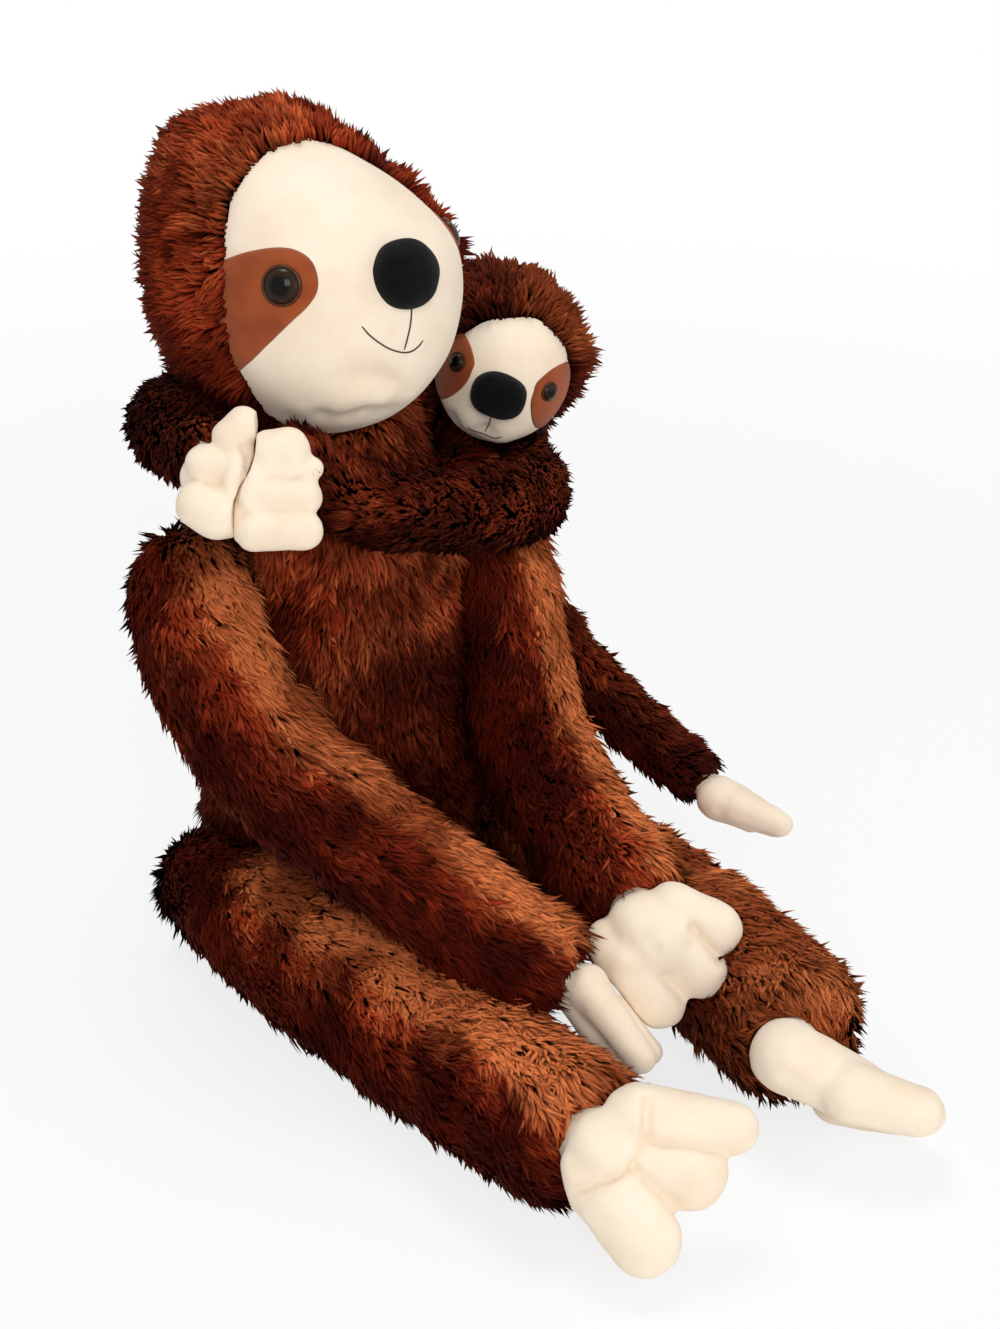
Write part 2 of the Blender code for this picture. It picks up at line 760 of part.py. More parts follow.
def tape_disc(name, frame, inner, outer, radius=CLASP_PATCH_RADIUS):
    """A round of fastener tape in the plane between the palms."""
    return turned(
        name,
        (
            (0.0, inner),
            (radius, inner),
            (radius, outer),
            (0.0, outer),
        ),
        EYE_SIDES,
        frame,
    )


MOTHER_HAND = (HAND_PALM_HALVES, HAND_DIGIT_RADIUS, HAND_DIGIT_LENGTH, HAND_FAN_SHARES)
MOTHER_FOOT = (FOOT_PALM_HALVES, FOOT_DIGIT_RADIUS, FOOT_DIGIT_LENGTH, FOOT_FAN_SHARES)
BABY_HAND = (BABY_PALM_HALVES, BABY_HAND_DIGIT_RADIUS, BABY_DIGIT_LENGTH, BABY_HAND_FAN_SHARES)
BABY_FOOT = (BABY_PALM_HALVES, BABY_DIGIT_RADIUS, BABY_DIGIT_LENGTH, BABY_FOOT_FAN_SHARES)
MOTHER_EYE = (EYE_RADIUS, EYE_RISE, SHANK_RADIUS, SHANK_LENGTH, WASHER_RADIUS, WASHER_THICKNESS)
BABY_EYE = (
    BABY_EYE_RADIUS,
    BABY_EYE_RISE,
    BABY_SHANK_RADIUS,
    BABY_SHANK_LENGTH,
    BABY_WASHER_RADIUS,
    BABY_WASHER_THICKNESS,
)


def make_mother():
    """Her pieces, and the spaces that they keep clear of the young one."""
    floor = floor_space()
    torso = make_torso()
    filling = as_piece(grown(torso, "torso_filling", -FABRIC - GAP))
    torso_space = grown(torso, "torso_space", RUNNING_GAP)

    head_centre = Vector((-HEAD_LEAN, 0.0, TORSO_HEIGHT - HEAD_SINK + HEAD_HALF_HEIGHT))
    face = Face(
        "",
        head_centre,
        (
            HEAD_HALF_WIDTH,
            HEAD_HALF_HEIGHT,
            (FACE_HALF_WIDTH, FACE_HALF_DEPTH, FACE_HALF_HEIGHT),
            FACE_FORWARD,
            FACE_DROP,
        ),
        (FACE_AZIMUTH, FACE_PITCH, 0.0),
        (HEAD_FACETS, FACE_FACETS),
    )
    head_space, face_space = face.spaces()
    turn_spaces = turned_spaces(face.face, "face_turn_space", head_centre, "Z", HEAD_TURN_STEPS)
    face.build_shells()
    face.add_neck_opening(NECK_OPENING_RADIUS)
    face.add_eye(-1, RIGHT_EYE_SHARES, MOTHER_EYE, EYE_PATCH_SHARES)
    face.add_eye(1, LEFT_EYE_SHARES, MOTHER_EYE, EYE_PATCH_SHARES)
    face.add_nose(NOSE_PLACE_SHARES, (NOSE_HALF_WIDTH, NOSE_HALF_HEIGHT, NOSE_HALF_DEPTH))
    finish(face.head, BROWN_FUR)
    finish(face.face, CREAM_VELBOA)
    pivot("head_pivot", head_centre, *face.pieces)

    sides = (("right", -1, RIGHT_ARM_SHARES, RIGHT_LEG_SHARES), ("left", 1, LEFT_ARM_SHARES, LEFT_LEG_SHARES))
    spaces = [torso_space, head_space, face_space]
    legs = {}
    arms = {}
    sockets = []
    for name, side, arm_shares, leg_shares in sides:
        path, leg = mother_limb(
            "leg_" + name, hip(side), LEG_LENGTH, LEG_RADIUS, leg_shares, LEG_RADIUS_SHARES
        )
        legs[name] = (path, leg, grown(leg, f"leg_{name}_space", RUNNING_GAP))
        path, arm = mother_limb(
            "arm_" + name, shoulder(side), ARM_LENGTH, ARM_RADIUS, arm_shares, ARM_RADIUS_SHARES
        )
        arms[name] = (path, arm, grown(arm, f"arm_{name}_space", RUNNING_GAP))
        sockets.append(
            ball_space(f"hip_{name}_space", hip(side), LEG_RADIUS * LEG_RADIUS_SHARES[0], LIMB_SIDES)
        )
        sockets.append(
            ball_space(
                f"shoulder_{name}_space", shoulder(side), ARM_RADIUS * ARM_RADIUS_SHARES[0], LIMB_SIDES
            )
        )
    leg_spaces = [legs[name][2] for name in legs]
    arm_spaces = [arms[name][2] for name in arms]

    for piece in (torso, filling):
        cut(piece, *sockets, head_space, *turn_spaces)
    cut(torso, grown(torso, "torso_inside", -FABRIC), floor)
    finish(torso, BROWN_FUR)
    finish(filling, FIBRE)

    for name, side, _, _ in sides:
        path, leg, _ = legs[name]
        swing_spaces = turned_spaces(
            torso, f"leg_{name}_swing_space", path[0], "X", [-angle for angle in LEG_SWING_STEPS]
        )
        cut(leg, torso_space, *swing_spaces, floor)
        foot_ways = RIGHT_FOOT_SHARES if side < 0 else LEFT_FOOT_SHARES
        foot = paw_on("foot_" + name, path, FOOT_REACH, foot_ways, MOTHER_FOOT)
        cut(foot, grown(leg, f"foot_{name}_seat", GAP), floor)
        finish(leg, BROWN_FUR)
        pivot(f"leg_{name}_pivot", path[0], leg, foot)

        path, arm, _ = arms[name]
        arm_steps = RIGHT_ARM_STEPS if side < 0 else LEFT_ARM_STEPS
        lift_spaces = turned_spaces(torso, f"arm_{name}_lift_space", path[0], "X", arm_steps)
        cut(arm, torso_space, *lift_spaces, *leg_spaces)
        hand_ways = RIGHT_HAND_SHARES if side < 0 else LEFT_HAND_SHARES
        hand = paw_on("hand_" + name, path, HAND_REACH, hand_ways, MOTHER_HAND)
        hand_spaces = turned_spaces(
            legs[name][1], f"hand_{name}_lift_space", path[0], "X", HAND_LIFT_STEPS
        )
        hand_spaces += turned_spaces(
            legs[name][1], f"hand_{name}_passing_space", legs[name][0][0], "X", HAND_PASSING_STEPS
        )
        cut(hand, grown(arm, f"hand_{name}_seat", GAP), *leg_spaces, *hand_spaces)
        finish(arm, BROWN_FUR)
        pivot(f"arm_{name}_pivot", path[0], arm, hand)
    path, arm, _ = arms["left"]
    arm_spaces += turned_spaces(
        arm, "arm_left_lifted_space", path[0], "X", [-angle for angle in LEFT_ARM_STEPS]
    )
    return spaces + leg_spaces + arm_spaces, (arm, arm_spaces[-1])


def half_space(name, frame, side):
    """What lies past the plane between the palms, seen from this side's palm."""
    shape = bmesh.new()
    bmesh.ops.create_cube(shape, size=1.0)
    reach = 2 * (BABY_DIGIT_LENGTH + BABY_ARM_RADIUS + OVERRUN)
    bmesh.ops.scale(shape, vec=(reach, reach, OVERRUN), verts=shape.verts)
    offset = -side * (OVERRUN / 2 - GAP / 2)
    bmesh.ops.translate(shape, vec=(0.0, 0.0, offset), verts=shape.verts)
    return as_cutter(new_object(name, shape, frame))


def make_baby(mother_spaces, mother_arm_forms):
    neck = shoulder(1) + BABY_NECK_OFFSET
    torso_path = path_from(neck, BABY_TORSO_LENGTH, BABY_TORSO_SHARES)
    torso = stuffed_tube(
        "baby_torso",
        torso_path,
        BABY_TORSO_RADIUS,
        BABY_TORSO_RADIUS_SHARES,
        LIMB_SIDES,
        LIMB_STEPS,
        LIMB_DOME_ANGLES,
    )
    torso_space = grown(torso, "baby_torso_space", RUNNING_GAP)
    head_centre = neck + BABY_HEAD_OFFSET
    face = Face(
        "baby_",
        head_centre,
        (
            BABY_HEAD_HALF_WIDTH,
            BABY_HEAD_HALF_HEIGHT,
            (BABY_FACE_HALF_WIDTH, BABY_FACE_HALF_DEPTH, BABY_FACE_HALF_HEIGHT),
            BABY_FACE_FORWARD,
            BABY_FACE_DROP,
        ),
        (BABY_FACE_AZIMUTH, BABY_FACE_PITCH, BABY_FACE_ROLL),
        (BABY_HEAD_FACETS, BABY_FACE_FACETS),
    )
    head_space, face_space = face.spaces()
    turn_spaces = turned_spaces(face.face, "baby_face_turn_space", head_centre, "Z", HEAD_TURN_STEPS)
    face.build_shells()
    for side in (-1, 1):
        face.add_eye(side, BABY_EYE_PLACE_SHARES, BABY_EYE, BABY_EYE_PATCH_SHARES)
    face.add_nose(
        BABY_NOSE_PLACE_SHARES, (BABY_NOSE_HALF_WIDTH, BABY_NOSE_HALF_HEIGHT, BABY_NOSE_HALF_DEPTH)
    )
    finish(face.head, BABY_FUR)
    finish(face.face, CREAM_VELBOA)
    pivot("baby_head_pivot", head_centre, *face.pieces)
    cut(torso, *mother_spaces, head_space, *turn_spaces)
    finish(torso, BABY_FUR)

    clasp = loop_point(CLASP_ANGLE, CLASP_RADIUS_SHARE, CLASP_RISE_SHARE)
    across = Vector(CLASP_NORMAL_SHARES).normalized()
    heading = across.cross(Vector((0.0, 0.0, 1.0)))
    clasp_frame = outward_frame(clasp, across)
    others = [*mother_spaces, torso_space, head_space, *turn_spaces]
    arm_shares = (
        ("left", 1, BABY_LEFT_ARM_SHARES, BABY_LEFT_ARM_STEPS),
        ("right", -1, BABY_RIGHT_ARM_SHARES, BABY_RIGHT_ARM_STEPS),
    )
    for name, side, shares, open_steps in arm_shares:
        seat = BABY_PALM_HALVES[2] + CLASP_PATCH_THICKNESS + GAP / 2
        palm_centre = clasp + across * (side * seat)
        path = [loop_point(*share) for share in shares]
        path.append(palm_centre - heading * BABY_PALM_REACH)
        arm = baby_limb("baby_arm_" + name, path, BABY_ARM_RADIUS)
        hand = paw(
            "baby_hand_" + name,
            frame_of(palm_centre, heading, across * side),
            BABY_HAND,
            path[-1],
        )
        half = half_space("baby_palm_side_" + name, clasp_frame, side)
        tape = "loop_tape" if side > 0 else "hook_tape"
        inner = GAP / 2 * side
        outer = (GAP / 2 + CLASP_PATCH_THICKNESS) * side
        disc = tape_disc(tape, clasp_frame, inner, outer)
        finish(disc, HOOK_TAPE)
        disc_space = as_cutter(
            tape_disc(tape + "_space", clasp_frame, -outer, outer + GAP * side, CLASP_PATCH_RADIUS + GAP)
        )
        open_angles = [-angle * side for angle in open_steps]
        open_spaces = turned_spaces(torso, f"baby_arm_{name}_open_space", path[0], "Z", open_angles)
        for form in mother_arm_forms:
            open_spaces += turned_spaces(
                form, f"baby_arm_{name}_passing_{form.name}", path[0], "Z", open_angles
            )
        cut(arm, *others, *open_spaces, half)
        cut(hand, grown(arm, f"baby_hand_{name}_seat", GAP), *mother_spaces, half, disc_space)
        finish(arm, BABY_FUR)
        pivot(f"baby_arm_{name}_pivot", path[0], arm, hand, disc)

    leg_shares = (
        ("left", 1, BABY_LEFT_LEG_SHARES, BABY_LEFT_FOOT_SHARES, "X", BABY_LEFT_LEG_STEPS),
        ("right", -1, BABY_RIGHT_LEG_SHARES, BABY_RIGHT_FOOT_SHARES, "Z", BABY_RIGHT_LEG_STEPS),
    )
    for name, side, shares, foot_ways, axis, swing_steps in leg_shares:
        start = torso_path[-1] + Vector((BABY_HIP_SPAN * side, 0.0, 0.0))
        hinge = start if axis == "X" else torso_path[-1]
        path = path_from(start, BABY_LEG_LENGTH, shares)
        leg = baby_limb("baby_leg_" + name, path, BABY_LEG_RADIUS)
        foot = paw_on("baby_foot_" + name, path, BABY_PALM_REACH, foot_ways, BABY_FOOT)
        swing_spaces = turned_spaces(torso, f"baby_leg_{name}_swing_space", hinge, axis, swing_steps)
        cut(leg, *mother_spaces, torso_space, *swing_spaces)
        cut(foot, grown(leg, f"baby_foot_{name}_seat", GAP), *mother_spaces)
        finish(leg, BABY_FUR)
        pivot(f"baby_leg_{name}_pivot", hinge, leg, foot)


clear_scene()
make_baby(*make_mother())
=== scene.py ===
"""Plush sloth with her young one clasped round her neck, dressed in long-pile plush and velboa.

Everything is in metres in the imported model's frame: she sits facing -Y on the plane Z = 0, and her
right side is at -X. Each stuffed piece gets a skin that follows its solid, and each furry one a
coat of tufts on a piece of its own. The faces, noses and eyes are worked out from their formulas.
"""

import math

import bpy
import numpy as np
from mathutils import Matrix, Vector


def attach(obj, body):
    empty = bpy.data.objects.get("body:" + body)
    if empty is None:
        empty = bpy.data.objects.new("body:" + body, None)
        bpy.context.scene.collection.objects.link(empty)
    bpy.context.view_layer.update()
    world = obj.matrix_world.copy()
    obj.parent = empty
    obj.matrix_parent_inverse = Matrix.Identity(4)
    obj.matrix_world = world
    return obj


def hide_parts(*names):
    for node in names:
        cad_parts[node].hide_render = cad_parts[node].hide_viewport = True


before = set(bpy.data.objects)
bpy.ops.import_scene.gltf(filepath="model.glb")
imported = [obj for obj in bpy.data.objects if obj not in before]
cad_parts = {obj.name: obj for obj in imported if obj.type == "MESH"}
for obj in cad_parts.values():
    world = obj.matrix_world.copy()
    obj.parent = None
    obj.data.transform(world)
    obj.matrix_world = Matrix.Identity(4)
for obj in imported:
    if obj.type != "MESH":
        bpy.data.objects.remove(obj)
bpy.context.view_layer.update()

# The photograph's frame and the camera that matches it
FRAME_SHORT_SIDE = 1000
FRAME_LONG_SIDE = 1329
FOCAL_PIXELS = 2200
SENSOR = 36.0
CAMERA_AZIMUTH = math.radians(-38)
CAMERA_ELEVATION = math.radians(27)
CAMERA_PLACE = (-0.4491, -0.6821, 0.525)
CAMERA_CLIP = (0.02, 30.0)

# The studio: lamps as (name, place, size, power) aimed at one place, the air's glow, and a floor that
# glows from one distance on, fully from another
LAMP_AIM = (0.0, -0.05, 0.15)
LAMPS = (
    ("key", (-0.9, -1.5, 1.1), 0.8, 18.5),
    ("top", (0.1, 0.3, 2.0), 0.8, 15.0),
    ("fill", (1.0, -1.5, 0.4), 1.2, 6.0),
)
AIR_GLOW = 0.32
FLOOR_REACH = 6.0
FLOOR_DROP = 0.0002
FLOOR_GLOW = (0.35, 1.1, 0.78, 1.0)

# Her head and face, as in the solids: centre, half sizes, and the way that the face looks
HEAD_CENTRE = np.array((-0.0117, 0.0, 0.278))
HEAD_HALVES = np.array((0.0568, 0.0568, 0.0605))
FACE_HALVES = np.array((0.0522, 0.0525, 0.0565))
FACE_POSE = (6.0, 12.0, 0.0)
FACE_FORWARD = 0.0135
FACE_DROP = 0.0015
# How far the tops of her hood and face lean back and aside as stuffed, and how the face narrows there
HOOD_LEAN = np.array((-0.0062, 0.0052, 0.0))
FACE_LEAN = np.array((-0.0115, 0.0052, 0.0))
FACE_TAPER = 0.18
LEAN_START = 0.0
LEAN_END = 1.1

# Her face's seam: degrees away from the way the face looks, for each degree of turn round that way
FACE_SEAM = (
    (-180, 80), (-165, 84), (-150, 86.5), (-135, 90), (-120, 93), (-105, 93.5), (-75, 94),
    (-60, 92), (-45, 90), (-30, 87), (-15, 85), (0, 80), (15, 74), (30, 68), (45, 66), (77, 65),
    (99, 66), (115, 70), (126, 72.5), (138, 76), (158, 78),
)
# How deep the hood is sunk inside the seam and raised outside it, over how many degrees, and how far
# the fur grows over the seam: degrees on her, metres on her young one
SEAM_SINK = 0.0014
SEAM_SINK_DEGREES = 8
SEAM_RISE = 0.0006
SEAM_RISE_DEGREES = 10
SEAM_OVERLAP = 1.5
SEAM_COVER = 0.0004

# The young one's head and face
BABY_HEAD_CENTRE = np.array((0.08952, 0.005, 0.225))
BABY_HEAD_HALVES = np.array((0.0305, 0.0305, 0.0345))
BABY_FACE_HALVES = np.array((0.0272, 0.026, 0.0302))
BABY_FACE_POSE = (-40.0, 2.0, 18.0)
BABY_FACE_FORWARD = 0.0095
BABY_FACE_DROP = 0.004

# The hoods: how far they lie inside their solids, their rows, and their bumps as (way, width in
# radians, height)
HOOD_INSET = 0.0012
BABY_HOOD_INSET = 0.0008
HOOD_ROWS = 144
BABY_HOOD_ROWS = 72
HOOD_BUMPS = (
    ((-0.3, 0.45, 0.84), 0.3, 0.005),
    ((-0.4, 0.65, 0.64), 0.45, 0.0045),
    ((0.12, 0.1, 0.98), 0.22, 0.005),
    ((0.72, -0.3, 0.62), 0.45, -0.0045),
    ((0.94, -0.3, -0.05), 0.42, 0.0055),
)
BABY_HOOD_BUMPS = (
    ((-0.02, 0.55, 0.83), 0.3, 0.0055),
    ((0.51, 0.09, 0.76), 0.34, 0.0045),
    ((0.77, -0.63, 0.0), 0.24, 0.003),
)
# Rows of the face panels, and ripples of the cloth as (height, length)
FACE_ROWS = 108
BABY_FACE_ROWS = 60
FACE_RIPPLE = (0.00025, 0.022)
HOOD_RIPPLE = (0.0006, 0.02)
NOSE_RIPPLE = (0.0002, 0.009)
PAW_RIPPLE = (0.0003, 0.011)

# Places on the faces, as (degrees to her left, degrees up) from the middle of the face
NOSE_ANGLES = (-4.0, 4.0)
RIGHT_EYE_ANGLES = (-53.4, 7.6)
LEFT_EYE_ANGLES = (67.0, 7.6)
EYE_PATCH_ANGLES = (
    (-104, 8), (-92, 16), (-77, 18.5), (-65, 20.5), (-53, 21), (-44.5, 19.5), (-39.5, 15.5),
    (-38.6, 10), (-40.5, 4), (-45.5, -1), (-53.4, -6), (-63.7, -12.5), (-77, -20), (-92, -25),
    (-106, -18), (-110, -5),
)
LEFT_PATCH_SHIFT = 11.0
MOUTH_STEM_ANGLES = ((-3.0, -5.0), (-3.4, -9.0), (-4.2, -14.0), (-5.6, -19.0), (-7.2, -24.6))
MOUTH_CURVE_ANGLES = (
    (-26.2, -10.2), (-22.8, -15.0), (-18.3, -19.2), (-13.3, -22.6), (-7.2, -25.0), (-2.6, -25.3),
    (1.2, -24.0), (4.0, -21.8),
)
BABY_EYE_ANGLES = (44.5, 6.0)
BABY_NOSE_ANGLES = (0.0, -4.6)
BABY_PATCH_ANGLES = (
    (30.0, 13.0), (28.5, 4.0), (29.4, -4.0), (35.0, -14.0), (45.0, -24.0), (60.0, -31.0),
    (78.0, -30.0), (90.0, -12.0), (92.0, 8.0), (80.0, 25.0), (62.0, 27.0), (44.0, 23.0),
)
BABY_MOUTH_STEM_ANGLES = ((0.0, -22.0), (0.8, -30.0), (1.0, -38.0), (0.5, -46.0))
BABY_MOUTH_CURVE_ANGLES = ((-20.0, -40.0), (-11.0, -45.5), (0.5, -47.5), (11.0, -45.0), (19.0, -39.0))

# Dents and swells of the stuffing under a face: (left, up, width in degrees, height in metres)
FACE_SWELLS = (
    (-31, -31, 7, -0.0012), (-20, -34, 6, -0.0017), (-12, -38, 5, -0.0016), (-3, -36, 6, 0.001),
    (-26, -41, 7, 0.0015), (-16, -47, 6, 0.0014), (-24, -52, 5, -0.0014), (-42, -44, 9, 0.0013),
    (-36, -55, 5, -0.0018), (-52, -50, 5, -0.0016), (-64, -44, 6, 0.001), (-8, -58, 7, -0.0016),
    (6, -48, 8, 0.0012), (-10, 4, 22, 0.0009), (-53.4, 4.6, 12, -0.0006), (60.2, 4.6, 12, -0.0006),
)
BABY_FACE_SWELLS = (
    (-38, -42, 8, -0.0014), (-30, -60, 8, -0.0012), (-52, -30, 12, 0.0016), (-24, -40, 14, 0.0028),
    (0.8, -40, 7, -0.002), (20, -44, 14, 0.0026), (0, -5, 26, 0.0008),
)

# Eyes as (radius, rise, lift of the patch below), noses as (half sizes, power), and threads with
# how fast their ends dive, how high they lie and how deep they sink as shares of their radius
PATCH_LIFT = 0.0009
EYE_SIZES = (0.0074, 0.0038, PATCH_LIFT)
BABY_EYE_SIZES = (0.0042, 0.0024, PATCH_LIFT * 0.8)
NOSE_FORM = (np.array((0.0128, 0.0125, 0.0102)), 2.1)
BABY_NOSE_FORM = (np.array((0.0112, 0.0092, 0.0066)), 2.5)
THREAD_RADIUS = 0.0003
BABY_THREAD_RADIUS = 0.00024
THREAD_DIVE = 30
THREAD_LIFT_SHARE = 0.5
THREAD_SINK_SHARE = 2.2
THREAD_MAP_LENGTH = 20
NOSE_GRID = (40, 60)
# The eye's outline from its rim to its top, as (share of the radius, share of the rise)
EYE_PROFILE_SHARES = (
    (0.0, -0.4), (0.8, -0.4), (0.97, -0.2), (1.0, 0.1), (0.97, 0.24), (0.9, 0.3), (0.86, 0.26),
    (0.84, 0.3), (0.78, 0.46), (0.68, 0.64), (0.54, 0.8), (0.38, 0.91), (0.2, 0.98), (0.0, 1.0),
)
EYE_ROWS = 60
# A patch's rings and columns, the thickness of its edge, and how deep its underside lies
PATCH_RINGS = 18
PATCH_COLUMNS = 96
PATCH_MIDDLE_SHARE = 0.06
PATCH_ROUNDING = 14
PATCH_EDGE = 0.0001
PATCH_SINK = 0.0006

# The middles of the limbs, from root to cuff
RIGHT_ARM_PATH = (
    (-0.0675, 0.002, 0.164), (-0.0778, -0.0288, 0.1455), (-0.0778, -0.0698, 0.123),
    (-0.0634, -0.1108, 0.1025), (-0.0429, -0.1415, 0.0779), (-0.0275, -0.16, 0.0595),
)
LEFT_ARM_PATH = (
    (0.0675, 0.002, 0.164), (0.0655, -0.0216, 0.1394), (0.0573, -0.041, 0.1086),
    (0.0429, -0.08, 0.0841), (0.0306, -0.1231, 0.0738), (0.0234, -0.1528, 0.0666),
)
RIGHT_LEG_PATH = (
    (-0.0675, -0.003, 0.0309), (-0.0652, -0.0607, 0.0309), (-0.0608, -0.1184, 0.0309),
    (-0.0586, -0.1717, 0.032), (-0.0564, -0.2183, 0.0343),
)
LEFT_LEG_PATH = (
    (0.0675, -0.003, 0.0309), (0.063, -0.0696, 0.0309), (0.0608, -0.1362, 0.0309),
    (0.0541, -0.185, 0.0331), (0.0453, -0.225, 0.0354),
)
BABY_TORSO_PATH = ((0.0955, 0.014, 0.196), (0.0955, 0.0284, 0.1555), (0.0937, 0.0266, 0.115))
BABY_LEFT_ARM_PATH = (
    (0.0889, -0.0109, 0.1742), (0.0757, -0.0306, 0.178), (0.058, -0.0453, 0.1828),
    (0.0385, -0.057, 0.19), (0.0068, -0.0644, 0.1991), (-0.0304, -0.0653, 0.2116),
    (-0.0532, -0.0479, 0.2308),
)
BABY_RIGHT_ARM_PATH = (
    (0.0798, 0.0424, 0.1838), (0.0352, 0.061, 0.1953), (-0.0062, 0.0589, 0.2068),
    (-0.043, 0.043, 0.2188), (-0.0657, 0.014, 0.226), (-0.0704, -0.012, 0.2284),
    (-0.0737, -0.0322, 0.2308),
)
BABY_LEFT_LEG_PATH = (
    (0.1017, 0.0266, 0.115), (0.099, -0.0071, 0.1083), (0.0977, -0.0409, 0.0907),
    (0.1037, -0.074, 0.0745), (0.1118, -0.0989, 0.063),
)
BABY_RIGHT_LEG_PATH = (
    (0.0857, 0.0266, 0.115), (0.0857, 0.0536, 0.1069), (0.0695, 0.0725, 0.0961),
    (0.0398, 0.0766, 0.0853), (0.0155, 0.0752, 0.0772),
)

# Paws that the photograph shows plainly. A plane is a point and its normal. A lobe is (x, y, radius)
# at its root and at its tip, in the photograph's pixels on the paw's plane, and how far it stands
# ahead of that plane, in metres. A crease is a row of pixels
TO_CAMERA = (-0.549, -0.702, 0.454)
RIGHT_FOOT_PLANE = ((-0.0527, -0.2479, 0.0426), (-0.437, -0.709, 0.552))
RIGHT_FOOT_LOBES = (
    (606, 1146, 38, 620, 1162, 42, 0.0), (640, 1120, 38, 733, 1128, 27, 0.0005),
    (662, 1158, 34, 690, 1172, 38, 0.001), (612, 1195, 38, 645, 1240, 37, 0.001),
    (585, 1166, 25, 594, 1192, 27, -0.001),
)
RIGHT_FOOT_CREASES = (
    ((642, 1098), (641, 1139), (630, 1164), (648, 1184), (668, 1200)),
    ((630, 1164), (600, 1180), (566, 1198)),
    ((643, 1139), (680, 1144), (726, 1152)),
)
LEFT_HAND_PLANE = ((0.0208, -0.1786, 0.0679), (-0.5, -0.7, 0.45))
LEFT_HAND_LOBES = (
    (642, 926, 36, 656, 938, 44, 0.0), (672, 909, 28, 716, 929, 27, 0.0005),
    (675, 945, 28, 702, 972, 27, 0.001), (632, 960, 30, 660, 1002, 27, 0.001),
    (608, 941, 23, 620, 957, 27, -0.001),
)
LEFT_HAND_CREASES = (((690, 926), (703, 942), (718, 958)), ((662, 975), (672, 986), (682, 998)))
LEFT_FOOT_PLANE = ((0.0335, -0.252, 0.0335), TO_CAMERA)
LEFT_FOOT_LOBES = (
    (787, 1056, 37, 866, 1096, 31, 0.0), (850, 1092, 31, 918, 1112, 25, 0.007),
    (842, 1092, 29, 922, 1112, 23, -0.005), (838, 1098, 27, 900, 1114, 21, -0.015),
    (800, 1062, 28, 815, 1075, 28, -0.012),
)
RIGHT_HAND_PLANE = ((-0.0265, -0.18, 0.045), TO_CAMERA)
RIGHT_HAND_LOBES = (
    (586, 986, 23, 616, 1026, 19, 0.0), (577, 997, 21, 598, 1030, 19, -0.006),
    (600, 1004, 19, 641, 1058, 16, 0.004), (600, 1020, 18, 630, 1062, 15, -0.006),
    (612, 1010, 17, 650, 1052, 13, -0.012),
)
BABY_FOOT_PLANE = ((0.115, -0.112, 0.0565), TO_CAMERA)
BABY_FOOT_LOBES = (
    (719, 798, 23, 752, 813, 19, 0.0), (735, 805, 19, 780, 824, 13, 0.003),
    (735, 808, 17, 776, 826, 12, -0.006),
)
CLASP_PLANE = ((-0.0705, -0.0505, 0.2308), TO_CAMERA)
CLASPED_RIGHT_LOBES = (
    (208, 478, 28, 212, 508, 28, -0.0035), (240, 442, 15, 228, 518, 20, 0.0015),
    (230, 436, 18, 243, 425, 19, 0.004), (204, 463, 19, 222, 464, 18, 0.0035),
    (198, 505, 23, 215, 515, 25, 0.005), (235, 459, 9, 230, 494, 9, 0.0075),
)
CLASPED_LEFT_LOBES = (
    (284, 478, 30, 286, 512, 30, -0.0035), (262, 462, 20, 250, 528, 20, 0.0015),
    (270, 452, 23, 288, 450, 23, 0.004), (300, 466, 15, 313, 469, 12, 0.002),
    (266, 494, 19, 303, 496, 20, 0.0035), (254, 533, 19, 305, 531, 19, 0.005),
    (255, 472, 9, 248, 500, 9, 0.0075),
)
# The line where the clasped paws meet, in pixels, and the wave in their border
CLASP_BORDER = ((266, 405), (246, 472), (230, 550))
BORDER_WAVE = 0.0016
BORDER_WAVE_LENGTH = 0.03
BORDER_GAP = 0.0002
CREASE_WIDTH = 0.0017
CREASE_PULL = 0.4
CUFF_NARROWING = 0.8
CUFF_FLATTEN = 0.9
LOBE_GRID = (14, 24)

# For each lobed paw: plane, lobes, creases, border with the side of it that the paw lies on, cuff as
# (place, radius), and how much of a lobe's thickness is left
HER_PAWS = {
    "foot_right": (
        RIGHT_FOOT_PLANE, RIGHT_FOOT_LOBES, RIGHT_FOOT_CREASES, None, (RIGHT_LEG_PATH[-1], 0.0135), 0.8
    ),
    "hand_left": (
        LEFT_HAND_PLANE, LEFT_HAND_LOBES, LEFT_HAND_CREASES, None, (LEFT_ARM_PATH[-1], 0.0115), 0.8
    ),
    "foot_left": (LEFT_FOOT_PLANE, LEFT_FOOT_LOBES, (), None, (LEFT_LEG_PATH[-1], 0.0125), 1.0),
    "hand_right": (RIGHT_HAND_PLANE, RIGHT_HAND_LOBES, (), None, (RIGHT_ARM_PATH[-1], 0.0085), 1.0),
}
BABY_PAWS = {
    "baby_hand_left": (
        CLASP_PLANE, CLASPED_LEFT_LOBES, (), (CLASP_BORDER, -1), (BABY_LEFT_ARM_PATH[-1], 0.0095), 0.9
    ),
    "baby_hand_right": (
        CLASP_PLANE, CLASPED_RIGHT_LOBES, (), (CLASP_BORDER, 1), (BABY_RIGHT_ARM_PATH[-1], 0.0095), 0.9
    ),
    "baby_foot_left": (BABY_FOOT_PLANE, BABY_FOOT_LOBES, (), None, (BABY_LEFT_LEG_PATH[-1], 0.0065), 1.0),
}

